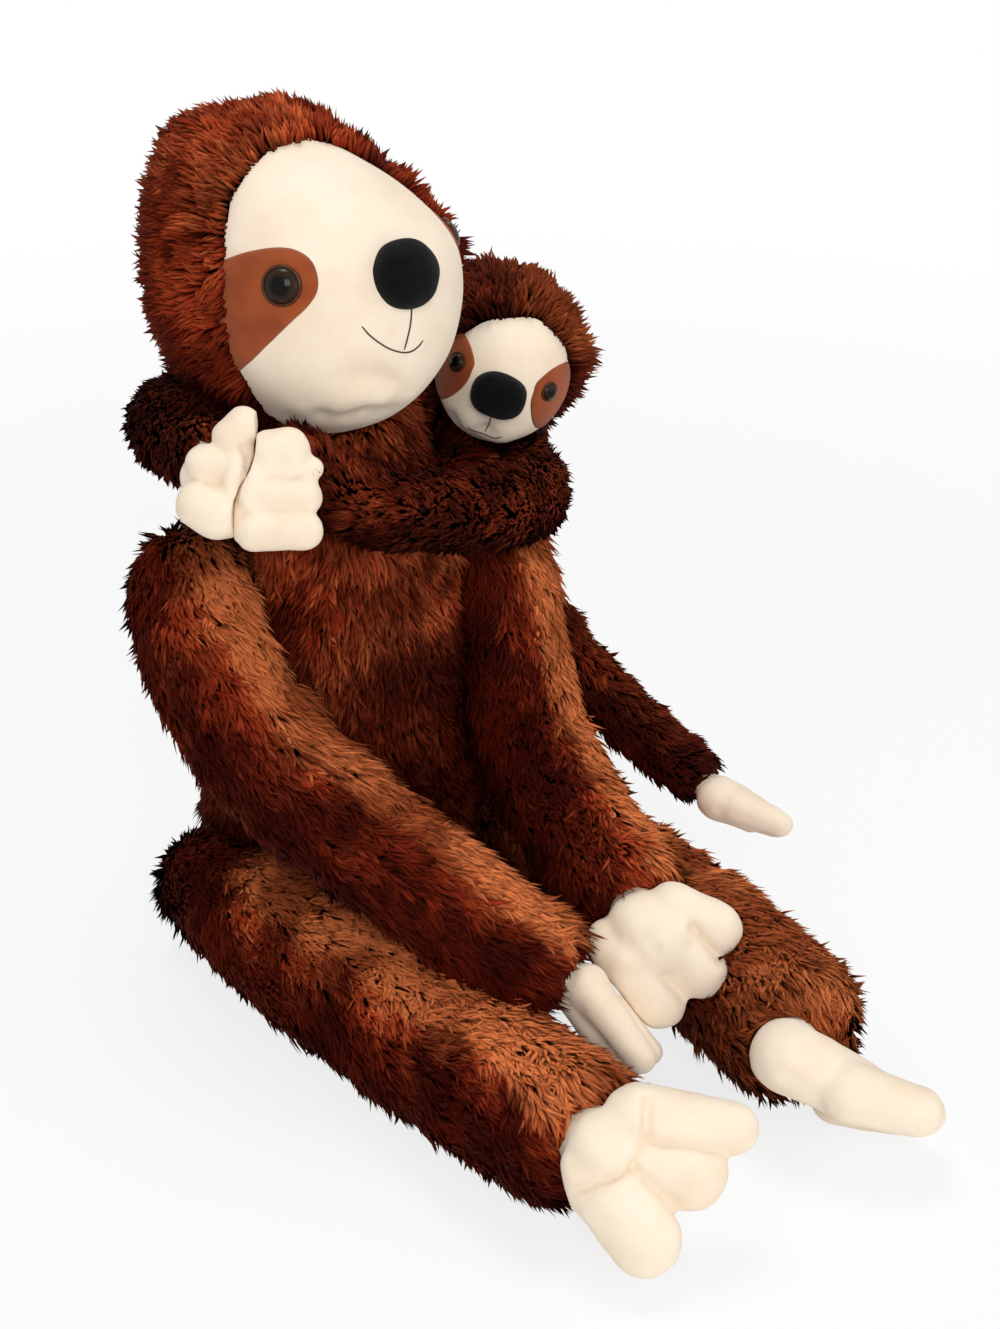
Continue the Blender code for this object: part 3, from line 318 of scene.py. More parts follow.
# The stuffed skins, as (cell of the remesh, rounds of relaxing, how far out, lumps as height and size)
TORSO_SKIN = (0.0036, 6, 0.0024, 0.0008, 0.03)
LIMB_SKIN = (0.0032, 4, -0.001, 0.0007, 0.02)
BABY_TORSO_SKIN = (0.0026, 4, -0.001, 0.0007, 0.02)
BABY_LIMB_SKIN = (0.0024, 4, -0.001, 0.0007, 0.02)
HIDDEN_PAW_SKIN = (0.0012, 3, 0.0004, 0.0003, 0.012)
PAW_CELL = 0.0013
BABY_PAW_CELL = 0.001
PAW_ROUNDS = 4
FLOOR_GAP = 0.0003

# The piles, and the coats as (length, width, spacing, lean in radians, gold of painted light)
PILE_LENGTH = 0.0115
HEAD_PILE_LENGTH = 0.0098
PILE_WIDTH = 0.001
PILE_SPACING = 0.00138
BABY_PILE = (0.0082, 0.00088, 0.00147)
TORSO_COAT = (PILE_LENGTH, PILE_WIDTH, PILE_SPACING * 1.06, 0.55, 0.28)
HEAD_COAT = (HEAD_PILE_LENGTH, PILE_WIDTH, PILE_SPACING * 1.02, 0.6, 0.0)
LIMB_COAT = (PILE_LENGTH, PILE_WIDTH, PILE_SPACING, 0.42, 0.0)
# Her left leg's coat takes much gold of painted light
LIT_GOLDEN_LEG_COAT = (PILE_LENGTH, PILE_WIDTH, PILE_SPACING, 0.42, 0.7)
BABY_COAT = (*BABY_PILE, 0.55, 0.1)
BABY_LIMB_COAT = (*BABY_PILE, 0.55, 0.0)
CLUMP_RADIUS = 0.003
# Chance in a coat, as what a clump shares and what a tuft has of its own
SWING_CHANCE = (0.13, 0.16)
RISE_CHANCE = (0.075, 0.12)
CURL_CHANCE = (0.24, 0.2)
REACH_CHANCE = (0.16, 0.1)
SHADE_CHANCE = (0.13, 0.06)
# Chance that is a tuft's own
WIDTH_CHANCE = 0.25
GOLD_CHANCE = 0.15
# Broad waves in a coat, as (height, length)
SWING_WAVES = (0.34, 0.045)
RISE_WAVES = (0.09, 0.026)
SHADE_WAVES = (0.36, 0.034)
GOLD_WAVES = (0.25, 0.05)
# How flat and how steep a tuft stands in radians, how far it bends back, and its limits as shares of
# its usual length and width
FLATTEST_RISE = 0.12
STEEPEST_RISE = 1.45
BEND_LEAST = 0.25
BEND_MORE = 0.3
LENGTH_LIMITS = np.array((0.5, 1.45))
WIDTH_LIMITS = (0.5, 1.7)
# How far a clump's tufts draw together, and by which power of the way up a tuft
GATHER_SHARE = 0.32
GATHER_POWER = 1.3
# The painted shade of fur that no painted light reaches, and what the painted golden highlight adds to it
MIDDLE_SHADE = 0.52
LIT_SHARE = 0.4
# A tuft's rows as shares of its length and width, how flat it is, and how much of the skin's normal
# it takes for each part of its own
TUFT_STATION_SHARES = np.array((0.0, 0.52))
TUFT_WIDTH_SHARES = np.array((0.85, 1.0))
TUFT_SIDES = 3
TUFT_FLATNESS = 0.5
SOFT_NORMAL_SHARE = 4.0
# How deep tufts are rooted, how deep under a paw a root is covered, how far fur stays off a paw, and
# how far from a paw's rim it can reach it, tried on every few of the paw's points
ROOT_SINK = 0.0006
ROOT_DEPTH = 0.0003
FUR_CLEARANCE = 0.001
FUR_REACH = 2 * PILE_LENGTH
SAMPLE_STEP = 3
# Below which height the floor presses fur flat, how low fur may lie, and which faces lie on the floor
FLOOR_FLATTENING = 0.002
FLOOR_TOUCH = 0.0001
FACING_FLOOR = -0.8
# Points along a limb's flow and along a crease
FLOW_POINTS = 60
CREASE_POINTS = 40
# Where fur changes and by how much it stands up or grows: round a hip with painted shade, at a cuff,
# round a face and beside it, behind a face, and down her front
SHADED_REACH = 0.05
CUFF_REACH = 0.034
CUFF_RISE = 0.4
RIM_RISE = 0.45
BESIDE_RISE = 0.35
LONGER_SHARE = 0.3
RIM_REACH = (0.001, 0.009)
BEHIND_FACE = (-0.01, 0.05)
# Heights between which painted shade deepens down into her lap
LAP_SHADE_HEIGHTS = (0.16, 0.08)
FRONT_SPREAD = 6
FACE_SIDE = (0.79, -0.61, 0.1)

# Her limbs and the young one's, each with its paw, path, coat, painted light and seed. Painted light
# is the way it comes from, the depth of painted shade facing away, the strength of the painted
# highlight facing it, and a place round which the fur gets painted shade
HER_LIMBS = (
    ("arm_right", "hand_right", RIGHT_ARM_PATH, LIMB_COAT, ((0.5, -0.18, 0.87), 0.5, 1.1), 51),
    ("arm_left", "hand_left", LEFT_ARM_PATH, LIMB_COAT, ((0.75, -0.45, 0.4), 0.75, 1.45), 52),
    (
        "leg_right", "foot_right", RIGHT_LEG_PATH, LIMB_COAT,
        ((0.2, -0.15, 1.0), 0.75, 1.35, RIGHT_LEG_PATH[0]), 53,
    ),
    ("leg_left", "foot_left", LEFT_LEG_PATH, LIT_GOLDEN_LEG_COAT, ((0.5, -0.3, 0.8), 0.35, 1.2), 54),
)
# Painted light on the young one's fur: painted shade facing away from this way, a faint painted highlight
# facing it
BABY_PAINTED_LIGHT = ((0.6, -0.3, 0.6), 0.5, 0.15)
BABY_LIMBS = (
    ("baby_arm_left", "baby_hand_left", BABY_LEFT_ARM_PATH, 71),
    ("baby_arm_right", "baby_hand_right", BABY_RIGHT_ARM_PATH, 72),
    ("baby_leg_left", "baby_foot_left", BABY_LEFT_LEG_PATH, 73),
    ("baby_leg_right", "baby_foot_right", BABY_RIGHT_LEG_PATH, 74),
)

# Colours of the piles from root to tip, and the gold of painted light. The near-black root stands
# for painted shade deep in the pile, and the lighter tip is partly painted light
PILE_COLOURS = {
    "brown_fur": ((0.16, 0.014, 0.004), (0.36, 0.034, 0.009), (0.56, 0.076, 0.02), (0.97, 0.27, 0.085)),
    "baby_fur": ((0.05, 0.006, 0.002), (0.17, 0.018, 0.005), (0.34, 0.05, 0.014), (0.6, 0.14, 0.04)),
}
DARK_PATCHES = 0.8
# Short naps: shader's values, pale and deep colours, scales of fibre and mottle, bump and its depth
VELBOA_SHEEN = {"Sheen_Weight": 0.15, "Sheen_Roughness": 0.6, "Sheen_Tint": (1.0, 0.95, 0.88, 1.0)}
NAPS = {
    "cream_velboa": (
        {"Roughness": 0.9, "Specular_IOR_Level": 0.2, **VELBOA_SHEEN},
        (0.94, 0.81, 0.65), (0.88, 0.72, 0.54), 1700.0, 45.0, 0.35, 0.0003,
    ),
    "tan_velboa": (
        {"Roughness": 0.85, "Specular_IOR_Level": 0.2, **VELBOA_SHEEN},
        (0.34, 0.07, 0.013), (0.24, 0.042, 0.007), 1400.0, 70.0, 0.45, 0.0004,
    ),
    "black_plush": (
        {"Roughness": 0.95, "Specular_IOR_Level": 0.1, "Sheen_Weight": 0.05},
        (0.004, 0.004, 0.004), (0.0015, 0.0015, 0.0015), 1100.0, 90.0, 0.8, 0.0006,
    ),
}
# The moulded eye's colours, by share of its radius
EYE_COLOURS = (
    (0.0, (0.004, 0.003, 0.002)), (0.42, (0.005, 0.003, 0.002)), (0.52, (0.022, 0.012, 0.007)),
    (0.78, (0.035, 0.018, 0.01)), (0.84, (0.012, 0.006, 0.004)), (0.9, (0.1, 0.035, 0.014)),
    (1.0, (0.06, 0.02, 0.008)),
)
HIDDEN_FINISHES = {
    "eye_washer_left": "washer_plastic",
    "eye_washer_right": "washer_plastic",
    "baby_eye_washer_left": "washer_plastic",
    "baby_eye_washer_right": "washer_plastic",
    "loop_tape": "fastener_tape",
    "hook_tape": "fastener_tape",
}
FINISHES = {}


# Formulas on whole arrays


def turn_matrix(azimuth, pitch, roll):
    """Turns what looks along -Y by azimuth about Z, tips it up by pitch, and leans it by roll."""
    turn = Matrix.Rotation(math.radians(azimuth), 3, "Z")
    turn = turn @ Matrix.Rotation(math.radians(-pitch), 3, "X")
    turn = turn @ Matrix.Rotation(math.radians(roll), 3, "Y")
    return np.array(turn)


def unit(vectors):
    """Each row divided by its length."""
    return vectors / np.maximum(np.linalg.norm(vectors, axis=-1, keepdims=True), 1e-12)


def smooth_step(value, low, high):
    """0 below low, 1 above high, and the cubic 3t^2 - 2t^3 between them."""
    t = np.clip((value - low) / (high - low), 0, 1)
    return t * t * (3 - 2 * t)


def waves(points, form, seed, count=7):
    """A soft field of this height and length: the mean of sines in seeded directions."""
    height, length = form
    rng = np.random.default_rng(seed)
    ways = unit(rng.normal(size=(count, 3))) * rng.uniform(0.7, 1.4, (count, 1))
    phases = rng.uniform(0, math.tau, count)
    return height * (np.sin(points @ ways.T * (math.tau / length) + phases).mean(1) * 1.6)


def gauss(apart, width):
    """1 at no distance, falling as e to the minus squared distance over width."""
    return np.exp(-((apart / width) ** 2))


def catmull_rom(points, count, closed=False):
    """count points along the Catmull-Rom curve through the given ones."""
    points = np.asarray(points, float)
    if closed:
        ring = np.concatenate([points[-1:], points, points[:2]])
        spans = len(points)
    else:
        ring = np.concatenate([[2 * points[0] - points[1]], points, [2 * points[-1] - points[-2]]])
        spans = len(points) - 1
    place = np.linspace(0, spans, count, endpoint=not closed)
    first = np.minimum(place.astype(int), spans - 1)
    t = (place - first)[:, None]
    a, b, c, d = (ring[first + i] for i in range(4))
    bend = (c - a) * t + (2 * a - 5 * b + 4 * c - d) * t**2 + (3 * b - a - 3 * c + d) * t**3
    return b + bend / 2


def nearest_centre(points, centres):
    """For each point the number of its nearest centre, from squared lengths in blocks."""
    found = np.zeros(len(points), int)
    squares = (centres**2).sum(1)
    block = 4000
    for start in range(0, len(points), block):
        now = slice(start, start + block)
        found[now] = (squares - 2 * points[now] @ centres.T).argmin(1)
    return found


# Meshes


def first_corners(sizes):
    """Where each face's corners start in the row of all corners."""
    return np.concatenate(([0], np.cumsum(sizes)[:-1]))


def mesh_piece(name, points, corners, sizes):
    """A mesh piece from points, the corner numbers of its faces in one row, and how many each has."""
    mesh = bpy.data.meshes.new(name)
    mesh.vertices.add(len(points))
    mesh.vertices.foreach_set("co", np.ascontiguousarray(points, np.float32).ravel())
    mesh.loops.add(len(corners))
    mesh.loops.foreach_set("vertex_index", np.ascontiguousarray(corners, np.int32))
    mesh.polygons.add(len(sizes))
    mesh.polygons.foreach_set("loop_start", np.ascontiguousarray(first_corners(sizes), np.int32))
    mesh.update(calc_edges=True)
    mesh.shade_smooth()
    piece = bpy.data.objects.new(name, mesh)
    bpy.context.scene.collection.objects.link(piece)
    return piece


def set_attribute(piece, name, values):
    """Gives each point of a piece a value that its material reads."""
    layer = piece.data.attributes.new(name, "FLOAT", "POINT")
    layer.data.foreach_set("value", np.ascontiguousarray(values, np.float32))


def set_map(piece, name, places):
    """Gives each face corner of a piece its place on a flat map."""
    layer = piece.data.uv_layers.new(name=name)
    layer.uv.foreach_set("vector", np.ascontiguousarray(places, np.float32).ravel())


def dressed(piece, body, slot, nodes=(), finish=None):
    """The piece rides on its body, takes this finish, and stands for these nodes."""
    piece.data.materials.append(FINISHES[finish or slot])
    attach(piece, body)
    if nodes:
        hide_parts(*nodes)
    return piece


def capped_faces(rows, columns):
    """Faces of a closed form whose points are a pole, rows of columns, and a pole."""
    row, column = np.meshgrid(np.arange(rows - 1), np.arange(columns), indexing="ij")
    here = 1 + row * columns + column
    beside = 1 + row * columns + (column + 1) % columns
    quads = np.stack([here, here + columns, beside + columns, beside], -1).reshape(-1, 4)
    first = 1 + np.arange(columns)
    second = 1 + (np.arange(columns) + 1) % columns
    last = (rows - 1) * columns
    top = np.stack([np.zeros(columns, int), first, second], -1)
    bottom = np.stack([np.full(columns, rows * columns + 1), second + last, first + last], -1)
    corners = np.concatenate([quads.ravel(), top.ravel(), bottom.ravel()])
    return corners, np.concatenate([np.full(len(quads), 4), np.full(2 * columns, 3)])


def ball_grid(rows, columns):
    """Directions of a closed ball, by polar angle and angle round Z, with its faces."""
    polar = np.linspace(0, math.pi, rows + 2)[1:-1]
    around = np.arange(columns) / columns * math.tau
    a, p = np.meshgrid(around, polar)
    middle = np.stack([np.sin(p) * np.cos(a), np.sin(p) * np.sin(a), np.cos(p)], -1).reshape(-1, 3)
    return np.concatenate([[(0, 0, 1)], middle, [(0, 0, -1)]]), *capped_faces(rows, columns)


def grid_arrays(mesh):
    """A mesh of quads and triangles as points, face corners, face sizes and edges."""
    points = np.zeros(len(mesh.vertices) * 3, np.float32)
    mesh.vertices.foreach_get("co", points)
    corners = np.zeros(len(mesh.loops), np.int32)
    mesh.loops.foreach_get("vertex_index", corners)
    sizes = np.zeros(len(mesh.polygons), np.int32)
    mesh.polygons.foreach_get("loop_total", sizes)
    edges = np.zeros(len(mesh.edges) * 2, np.int32)
    mesh.edges.foreach_get("vertices", edges)
    return points.reshape(-1, 3).astype(float), corners, sizes, edges.reshape(-1, 2)


def face_corners(points, corners, sizes):
    """The first three corners of each face and its last, which on a triangle is its third."""
    starts = first_corners(sizes)
    return (*(points[corners[starts + i]] for i in range(3)), points[corners[starts + sizes - 1]])


def corner_normals(points, corners, sizes):
    """Each point's normal: the sum of its faces' cross products of their diagonals."""
    a, b, c, d = face_corners(points, corners, sizes)
    total = np.zeros_like(points)
    np.add.at(total, corners, np.repeat(np.cross(c - a, d - b), sizes, axis=0))
    return unit(total)


def facing_out(piece):
    """Turns a closed piece's faces round where its signed volume is below zero."""
    points, corners, sizes, _ = grid_arrays(piece.data)
    a, b, c, d = face_corners(points, corners, sizes)
    if np.einsum("ij,ij->", a, np.cross(b, c) + np.cross(c, d)) < 0:
        piece.data.flip_normals()
    return piece


# Faces as formulas


class FaceForm:
    """An egg-shaped face: points from (left, up) angles, with the swells of its stuffing."""

    def __init__(self, head_centre, halves, pose, forward, drop, swells, lean=0.0, taper=0.0, seam=()):
        self.turn = turn_matrix(*pose)
        self.lean = lean
        self.taper = taper
        self.seam = np.array(seam, float)
        self.centre = head_centre + self.turn @ np.array((0, -forward, 0)) - np.array((0, 0, drop))
        self.halves = halves
        self.swells = swells
        self.forward = self.turn @ np.array((0.0, -1.0, 0.0))

    def way(self, angles):
        """Unit directions of the ball that the face is stretched from."""
        left, up = np.radians(np.asarray(angles, float)).T
        return np.stack([np.sin(left) * np.cos(up), -np.cos(left) * np.cos(up), np.sin(up)], -1)

    def swell(self, ways):
        """How far the stuffing pushes the face out along each way, a Gauss curve for each swell."""
        out = np.zeros(len(ways))
        for left, up, width, height in self.swells:
            apart = np.arccos(np.clip(ways @ self.way([(left, up)])[0], -1, 1))
            out = out + height * gauss(apart, math.radians(width))
        return out

    def at(self, ways, lift=0.0):
        """Points of the face: the egg along each way, moved out by the swells and by lift."""
        normals = unit(ways / self.halves)
        out = self.swell(ways) + lift + waves(ways * self.halves, FACE_RIPPLE, 5)
        high = smooth_step(ways[:, 2:], LEAN_START, LEAN_END)
        local = ways * self.halves * (1 - self.taper * high * (1, 1, 0)) + normals * out[:, None]
        return self.centre + local @ self.turn.T + high * self.lean

    def normals(self, ways):
        """The egg's normals along each way."""
        return unit(ways / self.halves) @ self.turn.T

    def parts(self, points):
        """The shift of the egg's lean at points, the points in its frame, and on its unit ball."""
        height = ((points - self.centre) @ self.turn)[:, 2:] / self.halves[2]
        high = smooth_step(height, LEAN_START, LEAN_END)
        shift = high * self.lean
        local = (points - self.centre - shift) @ self.turn
        return shift, local, local / (self.halves * (1 - self.taper * high * (1, 1, 0)))

    def depth(self, points):
        """How far points lie outside the face, in metres, about."""
        ball = self.parts(points)[2]
        return (np.linalg.norm(ball, axis=1) - 1) * self.halves.min() - self.swell(unit(ball))

    def past_seam(self, points):
        """How many degrees points lie outside the seam."""
        ways = unit(self.parts(points)[2])
        away = np.degrees(np.arccos(np.clip(-ways[:, 1], -1, 1)))
        turned = np.degrees(np.arctan2(ways[:, 2], ways[:, 0]))
        return away - np.interp(turned, self.seam[:, 0], self.seam[:, 1], period=360)

    def seated(self, points):
        """A hood's points sunk below the face inside the seam, and raised above it outside."""
        shift, local, ball = self.parts(points)
        length = np.linalg.norm(ball, axis=1)
        swell = self.swell(unit(ball))
        depth = (length - 1) * self.halves.min() - swell
        past = self.past_seam(points)
        sunk = np.minimum(depth, -SEAM_SINK * smooth_step(-past, 0, SEAM_SINK_DEGREES))
        raised = np.maximum(depth, SEAM_RISE * smooth_step(past, 0, SEAM_RISE_DEGREES))
        wanted = np.where(past < 0, sunk, raised)
        scale = ((wanted + swell) / self.halves.min() + 1) / length
        return self.centre + shift + (local * scale[:, None]) @ self.turn.T

    def fur_grows(self, points):
        """Where a head's fur grows: up to the seam, and a little over it but for the chin."""
        if len(self.seam):
            return self.past_seam(points) > -SEAM_OVERLAP
        high = smooth_step((points - self.centre)[:, 2] / self.halves[2], -0.6, 0.5)
        return self.depth(points) > -SEAM_COVER * high


HER_FACE = FaceForm(
    HEAD_CENTRE, FACE_HALVES, FACE_POSE, FACE_FORWARD, FACE_DROP, FACE_SWELLS,
    FACE_LEAN, FACE_TAPER, FACE_SEAM,
)
BABY_FACE = FaceForm(
    BABY_HEAD_CENTRE, BABY_FACE_HALVES, BABY_FACE_POSE, BABY_FACE_FORWARD, BABY_FACE_DROP, BABY_FACE_SWELLS
)


# Materials


def rgba(*parts):
    """A colour with full alpha."""
    return (*parts, 1.0)


def feed(tree, node, values):
    """Sets a node's inputs to plain values, or links them to the sockets given."""
    for name, value in values.items():
        if isinstance(value, bpy.types.NodeSocket):
            tree.links.new(value, node.inputs[name])
        else:
            node.inputs[name].default_value = value


def add_node(tree, kind, values=None, **settings):
    """A node with these settings and inputs, laid out in rows in the order they are made."""
    node = tree.nodes.new(kind)
    row, column = divmod(len(tree.nodes), 8)
    node.location = (200 * column, -300 * row)
    for name, value in settings.items():
        setattr(node, name, value)
    feed(tree, node, values or {})
    return node


def colour_mix(tree, factor, first, second, blend="MIX"):
    """A mix of two colours."""
    values = {0: factor, 6: first, 7: second}
    return add_node(tree, "ShaderNodeMix", values, data_type="RGBA", blend_type=blend).outputs[2]


def ranged(tree, value, low, high, to_low=0.0, to_high=1.0):
    """A smooth step of this value from one range to another."""
    values = {"Value": value, "From Min": low, "From Max": high, "To Min": to_low, "To Max": to_high}
    return add_node(tree, "ShaderNodeMapRange", values, interpolation_type="SMOOTHSTEP").outputs["Result"]


def sum_of(tree, first, second, operation="MULTIPLY", clamp=False):
    """Two numbers multiplied, or put together by another operation."""
    settings = {"operation": operation, "use_clamp": clamp}
    return add_node(tree, "ShaderNodeMath", {0: first, 1: second}, **settings).outputs[0]


def vector_sum(tree, operation, values):
    """A node that puts vectors together by this operation."""
    return add_node(tree, "ShaderNodeVectorMath", values, operation=operation)


def attribute(tree, name, output="Fac"):
    """What a piece's points carry under this name."""
    return add_node(tree, "ShaderNodeAttribute", attribute_name=name).outputs[output]


def object_place(tree):
    """The place on the piece, in metres."""
    return add_node(tree, "ShaderNodeTexCoord").outputs["Object"]


def noise(tree, place, scale, detail, roughness=0.5):
    """Cloudy noise from 0 to 1."""
    values = {"Vector": place, "Scale": scale, "Detail": detail, "Roughness": roughness}
    return add_node(tree, "ShaderNodeTexNoise", values).outputs["Fac"]


def bump(tree, height, strength, depth, invert=False, **more):
    """A normal that is bumped by this height."""
    values = {"Height": height, "Strength": strength, "Distance": depth, **more}
    return add_node(tree, "ShaderNodeBump", values, invert=invert).outputs["Normal"]


def new_group(name, colours, numbers):
    """A node group with these inputs, and the sockets that bring them in."""
    group = bpy.data.node_groups.new(name, "ShaderNodeTree")
    for label in colours:
        group.interface.new_socket(label, in_out="INPUT", socket_type="NodeSocketColor")
    for label in numbers:
        group.interface.new_socket(label, in_out="INPUT", socket_type="NodeSocketFloat")
    return group, add_node(group, "NodeGroupInput").outputs


def group_out(group, **sockets):
    """Gives a group these outputs, each a kind and the socket that feeds it."""
    for label, (kind, _) in sockets.items():
        group.interface.new_socket(label, in_out="OUTPUT", socket_type="NodeSocket" + kind)
    add_node(group, "NodeGroupOutput", {label: socket for label, (_, socket) in sockets.items()})
    return group


def pile_group():
    """Plush pile: dark at the root with painted shade deep in the pile, its own colour along the tuft, and
    golden at the tip with painted light. Random patches darken it, and so does painted shade from the
    points' shading values. Its normal is the sum of the tuft's own and several times the skin's."""
    group, given = new_group("plush_pile", ("Root", "Body", "Tip", "Lit_Gold"), ("Patches",))
    along, painted_shading_and_tone, lit_gold = (attribute(group, name) for name in ("along", "painted_shading_and_tone", "lit_gold"))
    patch = noise(group, object_place(group), 27.0, 3.0)
    pile_map = add_node(group, "ShaderNodeUVMap", uv_map="pile").outputs["UV"]
    stretched = add_node(group, "ShaderNodeMapping", {"Vector": pile_map, "Scale": (9.0, 1.3, 1.0)})
    fibre = noise(group, stretched.outputs["Vector"], 1.6, 4.0)
    # Painted golden light: the body and the tip turn golden by the points' gold amount
    body = colour_mix(group, ranged(group, lit_gold, 0.0, 1.0, 0.0, 0.8), given["Body"], given["Lit_Gold"])
    low = colour_mix(group, ranged(group, along, -0.2, 0.4), given["Root"], body)
    tip = colour_mix(group, lit_gold, given["Tip"], given["Lit_Gold"])
    reach = sum_of(group, ranged(group, along, 0.3, 1.0), ranged(group, painted_shading_and_tone, 0.0, 1.0, 0.25, 1.0))
    pile = colour_mix(group, reach, low, tip)
    # Darker in random patches, in painted shade where the points' shading value is low, and along the fibres
    for amount, darker in (
        (sum_of(group, ranged(group, patch, 0.44, 0.6), given["Patches"]), rgba(0.34, 0.23, 0.2)),
        (ranged(group, painted_shading_and_tone, 0.0, 0.9, 0.9, 0.0), rgba(0.2, 0.13, 0.11)),
        (ranged(group, fibre, 0.35, 0.65, 0.45, 0.0), rgba(0.5, 0.48, 0.46)),
    ):
        pile = colour_mix(group, amount, pile, darker, "MULTIPLY")
    settings = {"vector_type": "NORMAL", "convert_from": "OBJECT", "convert_to": "WORLD"}
    skin = add_node(group, "ShaderNodeVectorTransform", {0: attribute(group, "lie", "Vector")}, **settings)
    more = vector_sum(group, "SCALE", {0: skin.outputs[0], "Scale": SOFT_NORMAL_SHARE})
    own = add_node(group, "ShaderNodeNewGeometry").outputs["Normal"]
    both = vector_sum(group, "ADD", {0: more.outputs["Vector"], 1: own})
    lie = vector_sum(group, "NORMALIZE", {0: both.outputs["Vector"]}).outputs["Vector"]
    return group_out(group, Color=("Color", pile), Height=("Float", fibre), Lie=("Vector", lie))


def nap_group():
    """Short nap: fine fibre noise for height, and a soft mottle between two colours."""
    group, given = new_group("short_nap", ("Pale", "Deep"), ("Fibre Scale", "Mottle Scale"))
    where = object_place(group)
    fibre = noise(group, where, given["Fibre Scale"], 5.0, 0.7)
    mottle = noise(group, where, given["Mottle Scale"], 3.0, 0.55)
    base = colour_mix(group, ranged(group, mottle, 0.35, 0.75), given["Pale"], given["Deep"])
    base = colour_mix(group, ranged(group, fibre, 0.3, 0.7, 0.3, 0.0), base, given["Deep"])
    return group_out(group, Color=("Color", base), Height=("Float", fibre))


def new_material(name, **values):
    """A material with these plain values, an underscore for a space, its tree and its shader."""
    material = bpy.data.materials.new(name)
    material.use_nodes = True
    shader = material.node_tree.nodes["Principled BSDF"]
    feed(material.node_tree, shader, {label.replace("_", " "): value for label, value in values.items()})
    return material, material.node_tree, shader


def grouped_material(name, shader_values, group, values, strength, depth):
    """A material whose colour and bump come from a node group with these values."""
    material, tree, shader = new_material(name, **shader_values)
    made = add_node(tree, "ShaderNodeGroup", node_tree=group)
    feed(tree, made, values)
    lie = {"Normal": made.outputs["Lie"]} if "Lie" in made.outputs else {}
    normal = bump(tree, made.outputs["Height"], strength, depth, **lie)
    feed(tree, shader, {"Base Color": made.outputs["Color"], "Normal": normal})
    return material


def make_materials():
    """Every finish, under the name of its slot."""
    pile = pile_group()
    nap = nap_group()
    made = {}
    for name, colours in PILE_COLOURS.items():
        values = {label: rgba(*colour) for label, colour in zip(("Root", "Body", "Tip", "Lit_Gold"), colours)}
        values["Patches"] = DARK_PATCHES
        shader_values = {"Roughness": 0.75, "Specular_IOR_Level": 0.05}
        made[name] = grouped_material(name, shader_values, pile, values, 0.5, 0.0004)
    for name, (shader_values, pale, deep, fibre, mottle, strength, depth) in NAPS.items():
        values = {"Pale": rgba(*pale), "Deep": rgba(*deep), "Fibre Scale": fibre, "Mottle Scale": mottle}
        made[name] = grouped_material(name, shader_values, nap, values, strength, depth)
    made["eye_plastic"] = eye_material()
    made["washer_plastic"] = washer_material()
    made["fastener_tape"] = tape_material()
    made["thread"] = thread_material()
    return made


def eye_material():
    """Moulded eye: a black middle, a dark brown ring and a warm rim, by how far out it lies."""
    material, tree, shader = new_material("eye_plastic", Specular_IOR_Level=0.1, Coat_Weight=0.03)
    ramp = add_node(tree, "ShaderNodeValToRGB", {"Fac": attribute(tree, "out")})
    steps = ramp.color_ramp.elements
    steps.remove(steps[1])
    steps[0].color = rgba(*EYE_COLOURS[0][1])
    for place, colour in EYE_COLOURS[1:]:
        steps.new(place).color = rgba(*colour)
    streaks = noise(tree, object_place(tree), 900.0, 2.0)
    worn = ranged(tree, streaks, 0.3, 0.7, 0.0, 0.5)
    tint = colour_mix(tree, worn, ramp.outputs["Color"], rgba(0.6, 0.55, 0.5), "MULTIPLY")
    feed(tree, shader, {"Base Color": tint, "Roughness": ranged(tree, streaks, 0.3, 0.7, 0.08, 0.18)})
    return material


def washer_material():
    """Pale moulded plastic with a faint flow pattern."""
    material, tree, shader = new_material("washer_plastic")
    flow = noise(tree, object_place(tree), 500.0, 3.0)
    colour = colour_mix(tree, flow, rgba(0.72, 0.72, 0.68), rgba(0.82, 0.82, 0.79))
    feed(tree, shader, {"Base Color": colour, "Roughness": ranged(tree, flow, 0.3, 0.7, 0.35, 0.5)})
    return material


def tape_material():
    """Hook-and-loop tape: rows of tiny hooks as raised dots."""
    material, tree, shader = new_material("fastener_tape", Roughness=0.8)
    values = {"Vector": object_place(tree), "Scale": 1300.0, "Randomness": 0.35}
    dots = add_node(tree, "ShaderNodeTexVoronoi", values).outputs["Distance"]
    colour = colour_mix(tree, ranged(tree, dots, 0.1, 0.6), rgba(0.82, 0.78, 0.7), rgba(0.5, 0.46, 0.4))
    feed(tree, shader, {"Base Color": colour, "Normal": bump(tree, dots, 0.8, 0.0004, invert=True)})
    return material


def thread_material():
    """Twisted brown sewing thread: slanting plies along the thread's own map."""
    material, tree, shader = new_material("mouth_thread", Roughness=0.7, Specular_IOR_Level=0.3)
    place = add_node(tree, "ShaderNodeUVMap", uv_map="thread").outputs["UV"]
    values = {"Vector": place, "Scale": 3.2, "Distortion": 0.4}
    plies = add_node(tree, "ShaderNodeTexWave", values, bands_direction="DIAGONAL").outputs["Fac"]
    colour = colour_mix(tree, plies, rgba(0.045, 0.02, 0.014), rgba(0.13, 0.06, 0.04))
    feed(tree, shader, {"Base Color": colour, "Normal": bump(tree, plies, 0.6, 0.0002)})
    return material


# Skins that follow the solids


